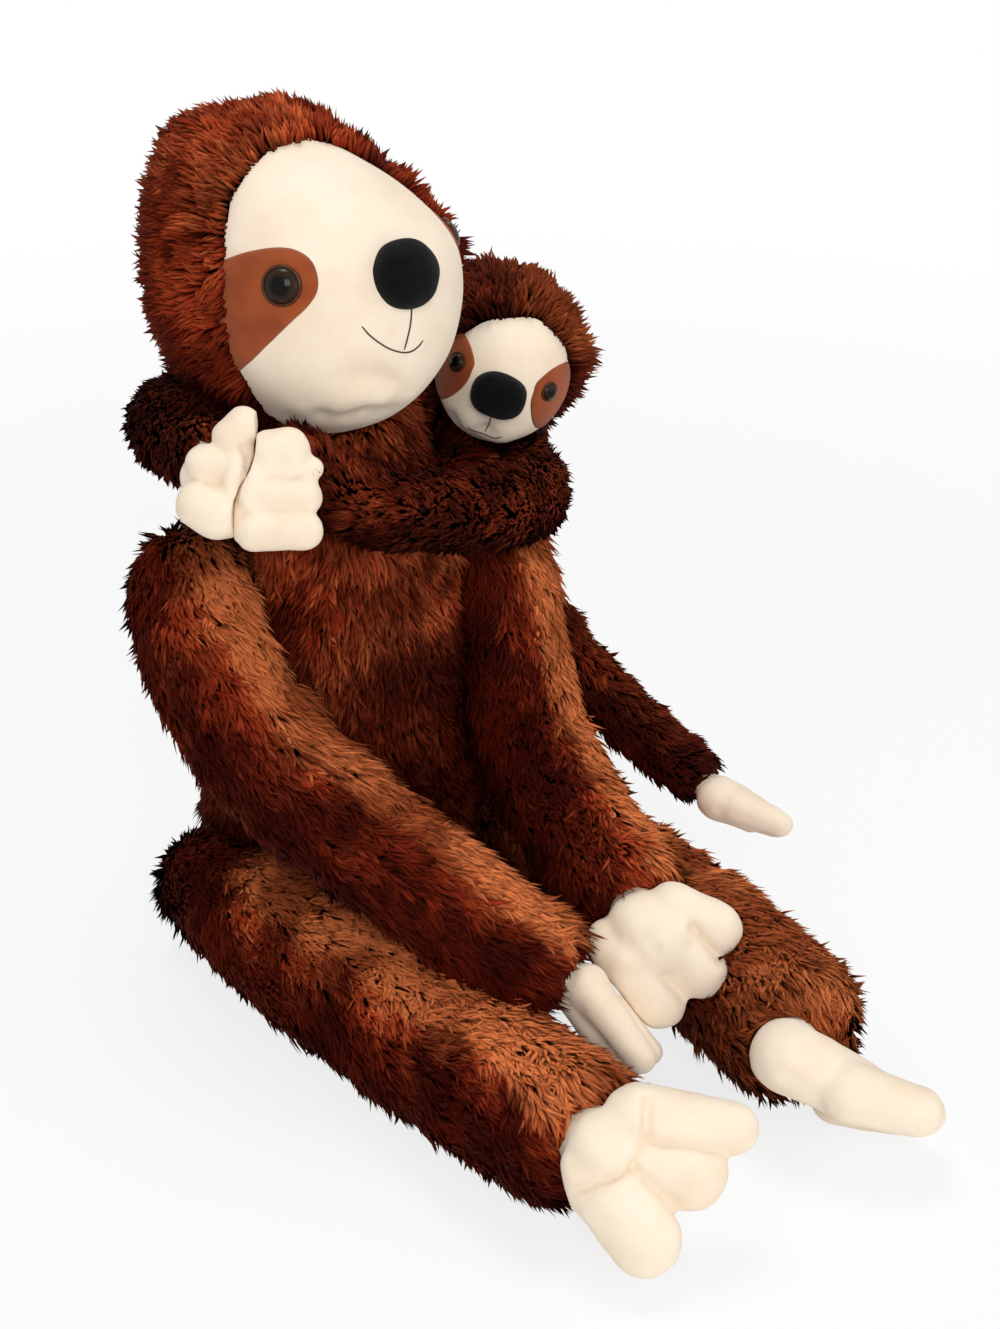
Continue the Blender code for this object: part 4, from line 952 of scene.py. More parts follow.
def node_surface(node):
    """A CAD node's points and triangles, with corners that lie together made one."""
    points, corners, _, _ = grid_arrays(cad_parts[node].data)
    _, first, merged = np.unique(
        np.round(points * 1e6).astype(np.int64), axis=0, return_index=True, return_inverse=True
    )
    faces = merged.reshape(-1)[corners].reshape(-1, 3)
    whole = (faces != np.roll(faces, 1, axis=1)).all(1)
    return points[first], faces[whole]


def remeshed(points, corners, sizes, cell):
    """A closed mesh as an even skin of small quads, by Blender's voxel remesh."""
    holder = mesh_piece("remesh_holder", points, corners, sizes)
    step = holder.modifiers.new("even", "REMESH")
    step.mode = "VOXEL"
    step.voxel_size = cell
    step.adaptivity = 0.0
    found = bpy.data.meshes.new_from_object(holder.evaluated_get(bpy.context.evaluated_depsgraph_get()))
    arrays = grid_arrays(found)
    bpy.data.objects.remove(holder)
    bpy.data.meshes.remove(found)
    return arrays


def relaxed(points, edges, rounds, share=0.5):
    """Each round moves every point by this share of the way to the mean of its neighbours."""
    count = np.bincount(edges.ravel(), minlength=len(points))[:, None]
    one, other = edges.T
    for _ in range(rounds):
        total = [
            np.bincount(one, points[other, k], len(points)) + np.bincount(other, points[one, k], len(points))
            for k in range(3)
        ]
        points = points + share * (np.stack(total, -1) / np.maximum(count, 1) - points)
    return points


def stuffed_skin(name, node, form, seed):
    """The node's form made soft: remeshed, relaxed, moved out along its normals, and swelled by
    seeded waves. Nothing goes below the floor."""
    cell, rounds, out, lump, lump_size = form
    points, faces = node_surface(node)
    points, corners, sizes, edges = remeshed(points, faces.ravel(), np.full(len(faces), 3), cell)
    points = relaxed(points, edges, rounds)
    normals = corner_normals(points, corners, sizes)
    points = points + normals * (out + waves(points, (lump, lump_size), seed))[:, None]
    points[:, 2] = np.maximum(points[:, 2], FLOOR_GAP)
    return mesh_piece(name, points, corners, sizes)


def tinted_skin(piece, painted_light=None, lit_gold=0.0):
    """The cloth under the pile takes the pile's colour some way up from its root, and the same painted
    light and shade as the fur.
    """
    points, corners, sizes, _ = grid_arrays(piece.data)
    deep, painted_highlight = (0.0, 0.0) if painted_light is None else painted_light(points, corner_normals(points, corners, sizes))
    everywhere = np.zeros(len(points))
    set_attribute(piece, "along", everywhere + 0.6)
    set_attribute(piece, "painted_shading_and_tone", np.clip(0.5 - deep + painted_highlight + everywhere, 0, 1))
    set_attribute(piece, "lit_gold", np.clip(lit_gold + painted_highlight + everywhere, 0, 1))
    return piece


def hood_skin(name, centre, halves, bumps, face, lean, rows):
    """An egg from a ball grid with Gauss-shaped bumps and a top that leans, seated under its face."""
    ways, corners, sizes = ball_grid(rows, rows * 5 // 3)
    out = waves(ways * halves, HOOD_RIPPLE, 11)
    for way, width, height in bumps:
        out = out + height * gauss(np.arccos(np.clip(ways @ unit(np.array(way)), -1, 1)), width)
    points = centre + ways * halves + unit(ways / halves) * out[:, None]
    points = points + smooth_step(ways[:, 2:], LEAN_START, LEAN_END) * lean
    if len(face.seam):
        points = face.seated(points)
    return tinted_skin(mesh_piece(name, points, corners, sizes))


# Fur


def rooted(piece, spacing, rng):
    """Points spread evenly over a piece's faces, one to each square of this spacing, with normals."""
    points, corners, sizes, _ = grid_arrays(piece.data)
    normals = corner_normals(points, corners, sizes)
    starts = first_corners(sizes)
    first = np.stack([corners[starts], corners[starts + 1], corners[starts + 2]], -1)
    quads = sizes == 4
    second = np.stack([corners[starts], corners[starts + 2], corners[starts + sizes - 1]], -1)[quads]
    order = np.argsort(np.concatenate([np.arange(len(first)), np.nonzero(quads)[0]]), kind="stable")
    triangles = np.concatenate([first, second])[order]
    a, b, c = (points[triangles[:, i]] for i in range(3))
    total = np.cumsum(np.linalg.norm(np.cross(b - a, c - a), axis=1) / 2)
    count = int(total[-1] / spacing**2)
    pick = np.searchsorted(total, (np.arange(count) + rng.uniform(size=count)) / count * total[-1])
    pick = np.minimum(pick, len(triangles) - 1)
    u, v = rng.uniform(size=(2, count))
    root = np.sqrt(u)
    shares = np.stack([1 - root, root * (1 - v), root * v], -1)[..., None]
    place = (np.stack([a[pick], b[pick], c[pick]], 1) * shares).sum(1)
    return place, unit((normals[triangles[pick]] * shares).sum(1))


def above_skin(points, skin):
    """How high points lie above a skin's nearest sample, along its normal, and those normals."""
    places, normals = skin
    near = nearest_centre(points, places)
    return ((points - places[near]) * normals[near]).sum(1), normals[near]


def laid_clear(points, skin, clearance):
    """Points less than this above a skin, moved along its normals until they are."""
    height, normals = above_skin(points, skin)
    return points + normals * np.maximum(clearance - height, 0)[:, None]


def skin_samples(piece):
    """Every few of a piece's points with their normals, its middle, and how far fur can reach."""
    points, corners, sizes, _ = grid_arrays(piece.data)
    samples = (points[::SAMPLE_STEP], corner_normals(points, corners, sizes)[::SAMPLE_STEP])
    middle = points.mean(0)
    return samples, middle, np.linalg.norm(points - middle, axis=1).max() + FUR_REACH


def tuft_faces(count):
    """Face corners, sizes, map places and heights of tufts, each a band of quads, a tip and a foot."""
    ring = np.arange(TUFT_SIDES)
    after = (ring + 1) % TUFT_SIDES
    tip = 2 * TUFT_SIDES
    band = np.stack([ring, ring + TUFT_SIDES, after + TUFT_SIDES, after], -1)
    tips = np.stack([ring + TUFT_SIDES, np.full(TUFT_SIDES, tip), after + TUFT_SIDES], -1)
    one = np.concatenate([band.ravel(), tips.ravel(), ring])
    sizes = np.array([4] * TUFT_SIDES + [3] * TUFT_SIDES + [3])
    along = np.append(np.repeat(TUFT_STATION_SHARES, TUFT_SIDES), 1.0)
    across = np.append(np.tile(ring / TUFT_SIDES, 2), 0.5)
    corners = (one[None, :] + (tip + 1) * np.arange(count)[:, None]).ravel()
    return corners, np.tile(sizes, count), np.stack([across, along], -1)[one], along


def kept_roots(root, normal, keep, covers):
    """The roots that are kept, and which of them another limb's paw presses flat. Roots under the
    limb's own paw go, and so does what lies flat on the floor."""
    wanted = ~((normal[:, 2] < FACING_FLOOR) & (root[:, 2] < FLOOR_FLATTENING))
    if keep is not None:
        wanted &= keep(root, normal)
    root, normal = root[wanted], normal[wanted]
    pressed = np.zeros(len(root), bool)
    for paw, place, far, own in covers:
        inside = np.linalg.norm(root - place, axis=1) < far
        inside[inside] = above_skin(root[inside], paw)[0] < -ROOT_DEPTH
        if own:
            root, normal, pressed = root[~inside], normal[~inside], pressed[~inside]
        else:
            pressed |= inside
    return root, normal, pressed


def coat(name, skin, body, slot, flow, options, painted_light, seed, keep=None, covers=(), stand=None):
    """Tufts over a skin. Each is a three-sided taper along root + L(Dt + Bt^2/2): D leans from the
    flow towards the skin's normal, B curls to its clump's side and back to the skin, and all the
    tufts of a clump draw together towards its middle."""
    rng = np.random.default_rng(seed)
    length, width, spacing, lean, lit_gold = options
    root, normal, pressed = kept_roots(*rooted(skin, spacing, rng), keep, covers)
    count = len(root)
    wanted = max(8, int(count * spacing**2 / (math.pi * CLUMP_RADIUS**2)))
    centres = root[rng.permutation(count)[:wanted]]
    clump = nearest_centre(root, centres)

    def chance(spread):
        return rng.normal(0, spread[0], len(centres))[clump] + rng.normal(0, spread[1], count)

    way = flow(root)
    way = unit(way - (way * normal).sum(1, keepdims=True) * normal)
    side = np.cross(normal, way)
    swing = chance(SWING_CHANCE) + waves(root, SWING_WAVES, seed)
    way = way * np.cos(swing)[:, None] + side * np.sin(swing)[:, None]
    side = np.cross(normal, way)
    rise = lean + waves(root, RISE_WAVES, seed + 1) + chance(RISE_CHANCE)
    more, longer = (0.0, 1.0) if stand is None else stand(root)
    rise = np.where(pressed, FLATTEST_RISE, np.clip(rise + more, FLATTEST_RISE, STEEPEST_RISE))[:, None]
    ahead = way * np.cos(rise) + normal * np.sin(rise)
    bend = side * chance(CURL_CHANCE)[:, None]
    bend = bend - normal * (BEND_LEAST + BEND_MORE * rng.uniform(size=(count, 1)))
    reach = np.clip(length * (1 + chance(REACH_CHANCE)), *(LENGTH_LIMITS * length))
    reach = (reach * longer)[:, None]
    gather = centres[clump] - root
    gather = gather - (gather * normal).sum(1, keepdims=True) * normal
    foot = root - normal * ROOT_SINK
    stations = np.append(TUFT_STATION_SHARES, 1.0)
    pull = gather * GATHER_SHARE
    rows = [foot + reach * (ahead * t + bend * t * t * 0.5) + pull * t**GATHER_POWER for t in stations]
    middle = np.stack(rows, 1)
    for paw, place, far, _ in covers:
        near = (np.linalg.norm(root - place, axis=1) < far) & ~pressed
        flat = middle[near][:, 1:].reshape(-1, 3)
        middle[near, 1:] = laid_clear(flat, paw, FUR_CLEARANCE).reshape(-1, len(stations) - 1, 3)
    low = middle[..., 2]
    squeezed = FLOOR_FLATTENING * np.exp(low / FLOOR_FLATTENING - 1)
    middle[..., 2] = np.where(low < FLOOR_FLATTENING, squeezed, low)
    run = unit(middle[:, -1] - middle[:, 0])
    up = unit(normal - (normal * run).sum(1, keepdims=True) * run)
    over = np.cross(run, up)
    wide = width * (1 + WIDTH_CHANCE * rng.normal(size=count)).clip(*WIDTH_LIMITS)[:, None]
    points = np.zeros((count, len(TUFT_STATION_SHARES) * TUFT_SIDES + 1, 3))
    for row, share in enumerate(TUFT_WIDTH_SHARES):
        for k in range(TUFT_SIDES):
            angle = math.radians(90 + 360 / TUFT_SIDES * k)
            offset = over * math.cos(angle) + up * (TUFT_FLATNESS * math.sin(angle))
            points[:, row * TUFT_SIDES + k] = middle[:, row] + offset * wide * share
    points[:, -1] = middle[:, -1]
    points[..., 2] = np.maximum(points[..., 2], FLOOR_TOUCH)
    corners, sizes, places, along = tuft_faces(count)
    piece = mesh_piece(name, points.reshape(-1, 3), corners, sizes)
    per_tuft = points.shape[1]
    # Painted light and shade: fur facing away from the light's way gets painted shade, fur facing it a
    # painted golden highlight; the waves and the chance are random tone
    deep, painted_highlight = painted_light(root, normal)
    painted_shading_and_tone = MIDDLE_SHADE + LIT_SHARE * np.minimum(painted_highlight, 1.0) - deep + waves(root, SHADE_WAVES, seed + 2)
    painted_shading_and_tone = painted_shading_and_tone + chance(SHADE_CHANCE)
    warm = lit_gold + painted_highlight + waves(root, GOLD_WAVES, seed + 3) + GOLD_CHANCE * rng.normal(size=count)
    set_attribute(piece, "along", np.tile(along, count))
    set_attribute(piece, "painted_shading_and_tone", np.repeat(np.clip(painted_shading_and_tone, 0, 1), per_tuft))
    set_attribute(piece, "lit_gold", np.repeat(np.clip(warm, 0, 1), per_tuft))
    lie = piece.data.attributes.new("lie", "FLOAT_VECTOR", "POINT")
    lie.data.foreach_set("vector", np.repeat(normal, per_tuft, axis=0).astype(np.float32).ravel())
    spread = np.tile(places, (count, 1))
    spread[:, 0] += np.repeat(rng.uniform(0, 40, count), len(places))
    set_map(piece, "pile", spread)
    dressed(piece, body, slot)
    print(name, count, "tufts")


def fluffed_cuff(path):
    """How fur stands up and grows longer towards the end of this path."""

    def stand(points):
        apart = np.linalg.norm(points - np.array(path[-1]), axis=1)
        near = 1 - smooth_step(apart, CUFF_REACH / 3, CUFF_REACH)
        return CUFF_RISE * near, 1 + LONGER_SHARE * near

    return stand


def rim_of(face, width):
    """How fur stands up round a face's opening, and grows longer beside it on the side we see."""

    def stand(points):
        near = 1 - smooth_step(face.depth(points), *RIM_REACH)
        aside = (points - face.centre) @ unit(np.array(FACE_SIDE)) / face.halves.max()
        beside = smooth_step(aside, width, 1.0)
        return RIM_RISE * near + BESIDE_RISE * beside, 1 + LONGER_SHARE * beside

    return stand


def along_path(path):
    """A flow that runs with the nearest stretch of this path."""
    line = catmull_rom(path, FLOW_POINTS)
    runs = unit(np.gradient(line, axis=0))
    return lambda points: runs[nearest_centre(points, line)]


def away_from(face, droop):
    """A flow that leaves a face all round, runs back over the head, and droops."""

    def flow(points):
        apart = points - face.centre
        ahead = (apart @ face.forward)[:, None]
        radial = unit(apart - ahead * face.forward)
        behind = smooth_step(-ahead, *BEHIND_FACE)
        return radial * (1 - 0.5 * behind) - face.forward * (0.35 + behind) + np.array((0, 0, -droop))

    return flow


def down_the_front(points):
    """Her torso's flow: down, and away from the middle line."""
    return np.stack([points[:, 0] * FRONT_SPREAD, np.zeros(len(points)), np.full(len(points), -1.0)], -1)


def painted_light_towards(way, deep, painted_highlight, shaded=None):
    """Painted light on fur: a painted golden highlight where it faces this way, painted shade where it
    faces away, and painted shade all round within a reach of the shaded place."""
    way = unit(np.array(way, float))

    def painted_light(points, normals):
        facing = normals @ way
        lit = 1.0
        if shaded is not None:
            apart = np.linalg.norm(points - np.array(shaded), axis=1)
            lit = smooth_step(apart, SHADED_REACH / 3, SHADED_REACH)
        painted_shade = 1 - lit * (1 - deep * smooth_step(-facing, -0.6, 0.2))
        return painted_shade, lit * painted_highlight * smooth_step(facing, 0.45, 0.9)

    return painted_light


def painted_shade_below(high, low):
    """Painted shade that deepens from one height down to another, and a faint painted highlight on fur
    that faces up.
    """
    return lambda points, normals: (
        smooth_step(-points[:, 2], -high, -low),
        0.1 * smooth_step(normals[:, 2], 0.3, 0.9),
    )


# Patches, eyes, noses and threads


def patch_piece(name, face, outline, lift):
    """A sewn-on patch: rings between a closed outline and its middle, (1-r)middle + r outline, out
    over the top and back in below. The top lies lift above the face and falls to it at the edge."""
    edge = catmull_rom(outline, PATCH_COLUMNS, closed=True)
    centre = edge.mean(0)
    rings = np.linspace(PATCH_MIDDLE_SHARE, 1, PATCH_RINGS)
    shares = np.concatenate([rings, rings[-2::-1]])
    over = lift * (1 - rings**PATCH_ROUNDING) + PATCH_EDGE
    lifts = np.concatenate([over, np.full(PATCH_RINGS - 1, -PATCH_SINK)])
    angles = centre + shares[:, None, None] * (edge - centre)
    angles = np.concatenate([[centre], angles.reshape(-1, 2), [centre]])
    heights = np.concatenate([[lift + PATCH_EDGE], np.repeat(lifts, PATCH_COLUMNS), [-PATCH_SINK]])
    points = face.at(face.way(angles), heights)
    return facing_out(mesh_piece(name, points, *capped_faces(len(shares), PATCH_COLUMNS)))


def frame_on(face, angles, lift):
    """A place on the face, lift above it, and the two ways across it with its normal."""
    way = face.way([angles])
    place = face.at(way, lift)[0]
    normal = face.normals(way)[0]
    up = face.turn @ np.array((0.0, 0.0, 1.0))
    up = unit(up - normal * (up @ normal))
    return place, np.cross(up, normal), up, normal


def eye_piece(name, face, angles, radius, rise, lift, columns=48):
    """A turned eye: each (radius, height) of its profile carried round the face's normal."""
    place, side, up, normal = frame_on(face, angles, lift)
    profile = catmull_rom(EYE_PROFILE_SHARES, EYE_ROWS) * np.array((radius, rise))
    far, height = profile[1:-1].T
    around = np.arange(columns) / columns * math.tau
    ring = np.cos(around)[:, None] * side + np.sin(around)[:, None] * up
    body = place + far[:, None, None] * ring + height[:, None, None] * normal
    start, end = place + np.outer(profile[[0, -1], 1], normal)
    points = np.concatenate([[start], body.reshape(-1, 3), [end]])
    piece = facing_out(mesh_piece(name, points, *capped_faces(len(far), columns)))
    set_attribute(piece, "out", np.concatenate([[0.0], np.repeat(far, columns), [0.0]]) / far.max())
    return piece


def nose_piece(name, face, angles, halves, power):
    """A plump oval pad: a ball drawn to |x|^p + |y|^p + |z|^p = 1 and set on the face."""
    place, side, up, normal = frame_on(face, angles, 0.0)
    ways, corners, sizes = ball_grid(*NOSE_GRID)
    local = ways / (np.abs(ways) ** power).sum(1, keepdims=True) ** (1 / power) * halves
    local = local + unit(local) * waves(local, NOSE_RIPPLE, 21)[:, None]
    points = place + local @ np.array((side, up, normal))
    return facing_out(mesh_piece(name, points, corners, sizes))


def thread_piece(name, face, angles, radius, count=64, sides=8):
    """A thread laid on the face: rings of this radius round a smooth line of places, its ends
    drawn in and sunk where the thread dives through the cloth."""
    line = catmull_rom(angles, count)
    t = np.linspace(0, 1, count)
    dive = np.exp(-np.minimum(t, 1 - t) * THREAD_DIVE)
    middle = face.at(face.way(line), radius * (THREAD_LIFT_SHARE - THREAD_SINK_SHARE * dive))
    normal = face.normals(face.way(line))
    side = unit(np.cross(unit(np.gradient(middle, axis=0)), normal))
    around = np.arange(sides) / sides * math.tau
    size = radius * (1 - 0.5 * dive)
    ring = np.cos(around)[None, :, None] * side[:, None] + np.sin(around)[None, :, None] * normal[:, None]
    body = (middle[:, None] + ring * size[:, None, None]).reshape(-1, 3)
    corners, sizes = capped_faces(count, sides)
    piece = mesh_piece(name, np.concatenate([middle[:1], body, middle[-1:]]), corners, sizes)
    across = np.concatenate([[0.5], np.tile(np.arange(sides) / sides, count), [0.5]])
    far = np.concatenate([[0.0], np.repeat(t, sides), [1.0]]) * THREAD_MAP_LENGTH
    set_map(piece, "thread", np.stack([across, far], -1)[corners])
    return facing_out(piece)


def mirrored(outline, shift=0.0):
    """An outline on the other side of the face, moved this many degrees to her left."""
    return tuple((shift - left, up) for left, up in outline)[::-1]


def make_face_pieces(prefix, face, slot, patches, eye_sizes, nose_angles, nose_form, threads, thread_radius):
    """The patches, eyes, nose and mouth threads of one face."""
    body = prefix + "head"
    for side, outline, angles in patches:
        node = f"{prefix}eye_patch_{side}"
        patch = patch_piece(node + "_cloth", face, outline, eye_sizes[2])
        dressed(patch, body, "tan_velboa", (node,))
        dome = eye_piece(f"{prefix}eye_{side}_dome", face, angles, *eye_sizes)
        dressed(dome, body, "eye_plastic", (f"{prefix}eye_{side}",))
    nose = nose_piece(prefix + "nose_pad", face, nose_angles, *nose_form)
    dressed(nose, body, "black_plush", (prefix + "nose",))
    for part, angles in zip(("stem", "curve"), threads):
        thread = thread_piece(f"{prefix}mouth_{part}", face, angles, thread_radius)
        dressed(thread, body, slot, finish="thread")


def make_face_panel(prefix, face, rows):
    """The face's egg over a ball grid."""
    ways, corners, sizes = ball_grid(rows, rows * 5 // 3)
    panel = mesh_piece(prefix + "face_cover", face.at(ways), corners, sizes)
    dressed(panel, prefix + "head", "cream_velboa", (prefix + "face_panel",))


# Paws and limbs


def camera_axes():
    """The ways to the camera's back, to its right and up."""
    a, e = CAMERA_AZIMUTH, CAMERA_ELEVATION
    back = np.array((math.sin(a) * math.cos(e), -math.cos(a) * math.cos(e), math.sin(e)))
    right = np.array((math.cos(a), math.sin(a), 0.0))
    return back, right, np.cross(back, right)


def from_picture(x, y, plane):
    """Where the sight lines through these pixels meet a plane, given by a point and its normal."""
    back, right, up = camera_axes()
    across = (np.atleast_1d(x) - FRAME_SHORT_SIDE / 2) / FOCAL_PIXELS
    down = (np.atleast_1d(y) - FRAME_LONG_SIDE / 2) / FOCAL_PIXELS
    ways = across[:, None] * right - down[:, None] * up - back
    point, normal = np.array(plane[0]), unit(np.array(plane[1]))
    start = np.array(CAMERA_PLACE)
    return start + ways * (((point - start) @ normal) / (ways @ normal))[:, None]


def lobe(start, end, radii, normal, flatten):
    """A stuffed lobe: a ball's front half about its end and back half about its start, each with
    its own radius, pressed to this share of its thickness along the paw's normal."""
    ways, corners, sizes = ball_grid(*LOBE_GRID)
    ahead = (ways @ unit(end - start) > 0)[:, None]
    reach = ways - (1 - flatten) * (ways @ normal)[:, None] * normal
    return np.where(ahead, end + reach * radii[1], start + reach * radii[0]), corners, sizes


def joined_skin(parts, cell):
    """One skin over overlapping lobes, by voxel remesh and some rounds of relaxing."""
    counts = np.cumsum([0] + [len(part[0]) for part in parts])
    points = np.concatenate([part[0] for part in parts])
    corners = np.concatenate([part[1] + shift for part, shift in zip(parts, counts)])
    sizes = np.concatenate([part[2] for part in parts])
    points, corners, sizes, edges = remeshed(points, corners, sizes, cell)
    return relaxed(points, edges, PAW_ROUNDS), corners, sizes


def lobed_paw(name, plane, lobes, creases, border, cuff, flatten, cell, seed):
    """A plump paw from the lobes that the photograph shows, joined to its cuff. Sewn creases pull
    the skin towards the paw's middle plane by a Gauss curve of the distance from their line, and
    what lies past the border, the plane between two pressed paws, is moved back to it."""
    point, normal = np.array(plane[0]), unit(np.array(plane[1]))
    start = np.array(CAMERA_PLACE)
    parts = []
    for x0, y0, r0, x1, y1, r1, ahead in lobes:
        first, last = from_picture((x0, x1), (y0, y1), (point + normal * ahead, normal))
        scale = np.linalg.norm((first + last) / 2 - start) / FOCAL_PIXELS
        parts.append(lobe(first, last, (r0 * scale, r1 * scale), normal, flatten))
    middle = from_picture(lobes[0][0], lobes[0][1], plane)[0]
    root, radius = np.array(cuff[0]), cuff[1]
    parts.append(lobe(root, middle, (radius, CUFF_NARROWING * radius), normal, CUFF_FLATTEN))
    points, corners, sizes = joined_skin(parts, cell)
    for line in creases:
        x, y = catmull_rom(line, CREASE_POINTS).T
        seam = from_picture(x, y, plane)
        height = ((points - point) @ normal)[:, None] * normal
        flat = points - height
        apart = np.linalg.norm(flat - seam[nearest_centre(flat, seam)], axis=1)
        points = points - (CREASE_PULL * gauss(apart, CREASE_WIDTH))[:, None] * height
    if border is not None:
        line, side = border
        x, y = np.array(line).T
        ends = from_picture(x, y, plane)
        across = unit(np.cross(ends[-1] - ends[0], ends[1] - start))
        bend = BORDER_WAVE * np.sin((points[:, 2] - ends[1][2]) * math.tau / BORDER_WAVE_LENGTH)
        past = side * ((points - ends[1]) @ across - bend) + BORDER_GAP
        points = points - side * np.maximum(past, 0)[:, None] * across
    normals = corner_normals(points, corners, sizes)
    points = points + normals * waves(points, PAW_RIPPLE, seed)[:, None]
    points[:, 2] = np.maximum(points[:, 2], FLOOR_GAP)
    return mesh_piece(name, points, corners, sizes)


def make_paw(node, limb, lobed, cell, seed):
    """A paw from its lobes, or from its solid where it has none, with samples of its skin."""
    name = node + "_cover"
    if node in lobed:
        paw = dressed(lobed_paw(name, *lobed[node], cell, seed), limb, "cream_velboa", (node,))
    else:
        paw = stuffed_skin(name, node, HIDDEN_PAW_SKIN, seed)
        dressed(paw, limb, "cream_velboa", (node,))
    return skin_samples(paw)


def make_limb(node, body, path, slot, form, options, painted_light, seed, covers=(), stand=None):
    """A limb's skin and its coats over and under it."""
    skin = stuffed_skin(node + "_skin", node, form, seed)
    dressed(tinted_skin(skin, painted_light, options[4]), body, slot, (node,))
    flow = along_path(path)
    for side, keep in (("over", lambda p, n: n[:, 2] >= 0), ("under", lambda p, n: n[:, 2] < 0)):
        coat(f"{node}_fur_{side}", skin, body, slot, flow, options, painted_light, seed, keep, covers, stand)


def covers_of(paws, node):
    """Every paw that fur is laid clear of, and whether it is this limb's own."""
    return [(*cover, other == node) for other, cover in paws.items()]


def make_mother():
    """Her torso, head, face and limbs."""
    torso = tinted_skin(stuffed_skin("torso_cover", "torso_filling", TORSO_SKIN, 3))
    dressed(torso, "torso", "brown_fur", ("torso_skin", "torso_filling"))
    # Painted shade low on her torso, down in her lap
    painted_light = painted_shade_below(*LAP_SHADE_HEIGHTS)
    for name, keep, seed in (
        ("torso_fur_front", lambda p, n: p[:, 1] < 0, 31),
        ("torso_fur_back", lambda p, n: p[:, 1] >= 0, 32),
    ):
        coat(name, torso, "torso", "brown_fur", down_the_front, TORSO_COAT, painted_light, seed, keep)

    halves = HEAD_HALVES - HOOD_INSET
    hood = hood_skin("head_cover", HEAD_CENTRE, halves, HOOD_BUMPS, HER_FACE, HOOD_LEAN, HOOD_ROWS)
    dressed(hood, "head", "brown_fur", ("head_hood", "head_filling"))
    make_face_panel("", HER_FACE, FACE_ROWS)
    # Painted light on her head from above: lighter facing it, a little painted shade facing away
    painted_light = painted_light_towards((-0.3, -0.2, 1.0), 0.2, 0.2)
    for name, side, seed in (("head_fur_right", -1, 41), ("head_fur_left", 1, 42)):
        coat(
            name, hood, "head", "brown_fur", away_from(HER_FACE, 0.25), HEAD_COAT, painted_light, seed,
            lambda p, n, side=side: HER_FACE.fur_grows(p) & ((p[:, 0] - HEAD_CENTRE[0]) * side >= 0),
            stand=rim_of(HER_FACE, 0.55),
        )
    patches = (
        ("right", EYE_PATCH_ANGLES, RIGHT_EYE_ANGLES),
        ("left", mirrored(EYE_PATCH_ANGLES, LEFT_PATCH_SHIFT), LEFT_EYE_ANGLES),
    )
    threads = (MOUTH_STEM_ANGLES, MOUTH_CURVE_ANGLES)
    make_face_pieces(
        "", HER_FACE, "brown_fur", patches, EYE_SIZES, NOSE_ANGLES, NOSE_FORM, threads, THREAD_RADIUS
    )
    paws = {limb: make_paw(paw, limb, HER_PAWS, PAW_CELL, seed) for limb, paw, _, _, _, seed in HER_LIMBS}
    for node, _, path, options, painted_light, seed in HER_LIMBS:
        painted_light = painted_light_towards(*painted_light)
        covers = covers_of(paws, node)
        make_limb(node, node, path, "brown_fur", LIMB_SKIN, options, painted_light, seed, covers, fluffed_cuff(path))


def make_young():
    """The young one's torso, head, face and limbs."""
    # Painted light and shade on the young one's torso and limbs
    baby_painted_light = painted_light_towards(*BABY_PAINTED_LIGHT)
    make_limb("baby_torso", "torso", BABY_TORSO_PATH, "baby_fur", BABY_TORSO_SKIN, BABY_COAT, baby_painted_light, 61)
    halves = BABY_HEAD_HALVES - BABY_HOOD_INSET
    hood = hood_skin(
        "baby_head_cover", BABY_HEAD_CENTRE, halves, BABY_HOOD_BUMPS, BABY_FACE, 0.0, BABY_HOOD_ROWS
    )
    dressed(hood, "baby_head", "baby_fur", ("baby_head_hood", "baby_head_filling"))
    make_face_panel("baby_", BABY_FACE, BABY_FACE_ROWS)
    # Painted light on the young one's head fur, from above and in front
    coat(
        "baby_head_fur", hood, "baby_head", "baby_fur", away_from(BABY_FACE, 0.2), BABY_COAT,
        painted_light_towards((0.5, -0.4, 0.7), 0.3, 0.5), 62,
        lambda p, n: BABY_FACE.fur_grows(p), stand=rim_of(BABY_FACE, 0.6),
    )
    patches = (
        ("left", BABY_PATCH_ANGLES, BABY_EYE_ANGLES),
        ("right", mirrored(BABY_PATCH_ANGLES), (-BABY_EYE_ANGLES[0], BABY_EYE_ANGLES[1])),
    )
    threads = (BABY_MOUTH_STEM_ANGLES, BABY_MOUTH_CURVE_ANGLES)
    make_face_pieces(
        "baby_", BABY_FACE, "baby_fur", patches, BABY_EYE_SIZES, BABY_NOSE_ANGLES, BABY_NOSE_FORM,
        threads, BABY_THREAD_RADIUS,
    )
    paws = {limb: make_paw(paw, limb, BABY_PAWS, BABY_PAW_CELL, seed) for limb, paw, _, seed in BABY_LIMBS}
    for node, _, path, seed in BABY_LIMBS:
        covers = covers_of(paws, node)
        make_limb(node, node, path, "baby_fur", BABY_LIMB_SKIN, BABY_LIMB_COAT, baby_painted_light, seed, covers)


def finish_hidden_parts():
    """The washers behind the eyes and the fastener tapes keep their solids and get a finish."""
    for node, finish in HIDDEN_FINISHES.items():
        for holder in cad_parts[node].material_slots:
            holder.material = FINISHES[finish]


# The floor, the light and the camera


def seen_directly(tree):
    """1 for rays that come from the camera straight, by a mirror or through glass."""
    rays = add_node(tree, "ShaderNodeLightPath").outputs
    seen = sum_of(tree, rays["Is Camera Ray"], rays["Is Glossy Ray"], "ADD", True)
    return sum_of(tree, seen, rays["Is Transmission Ray"], "ADD", True)


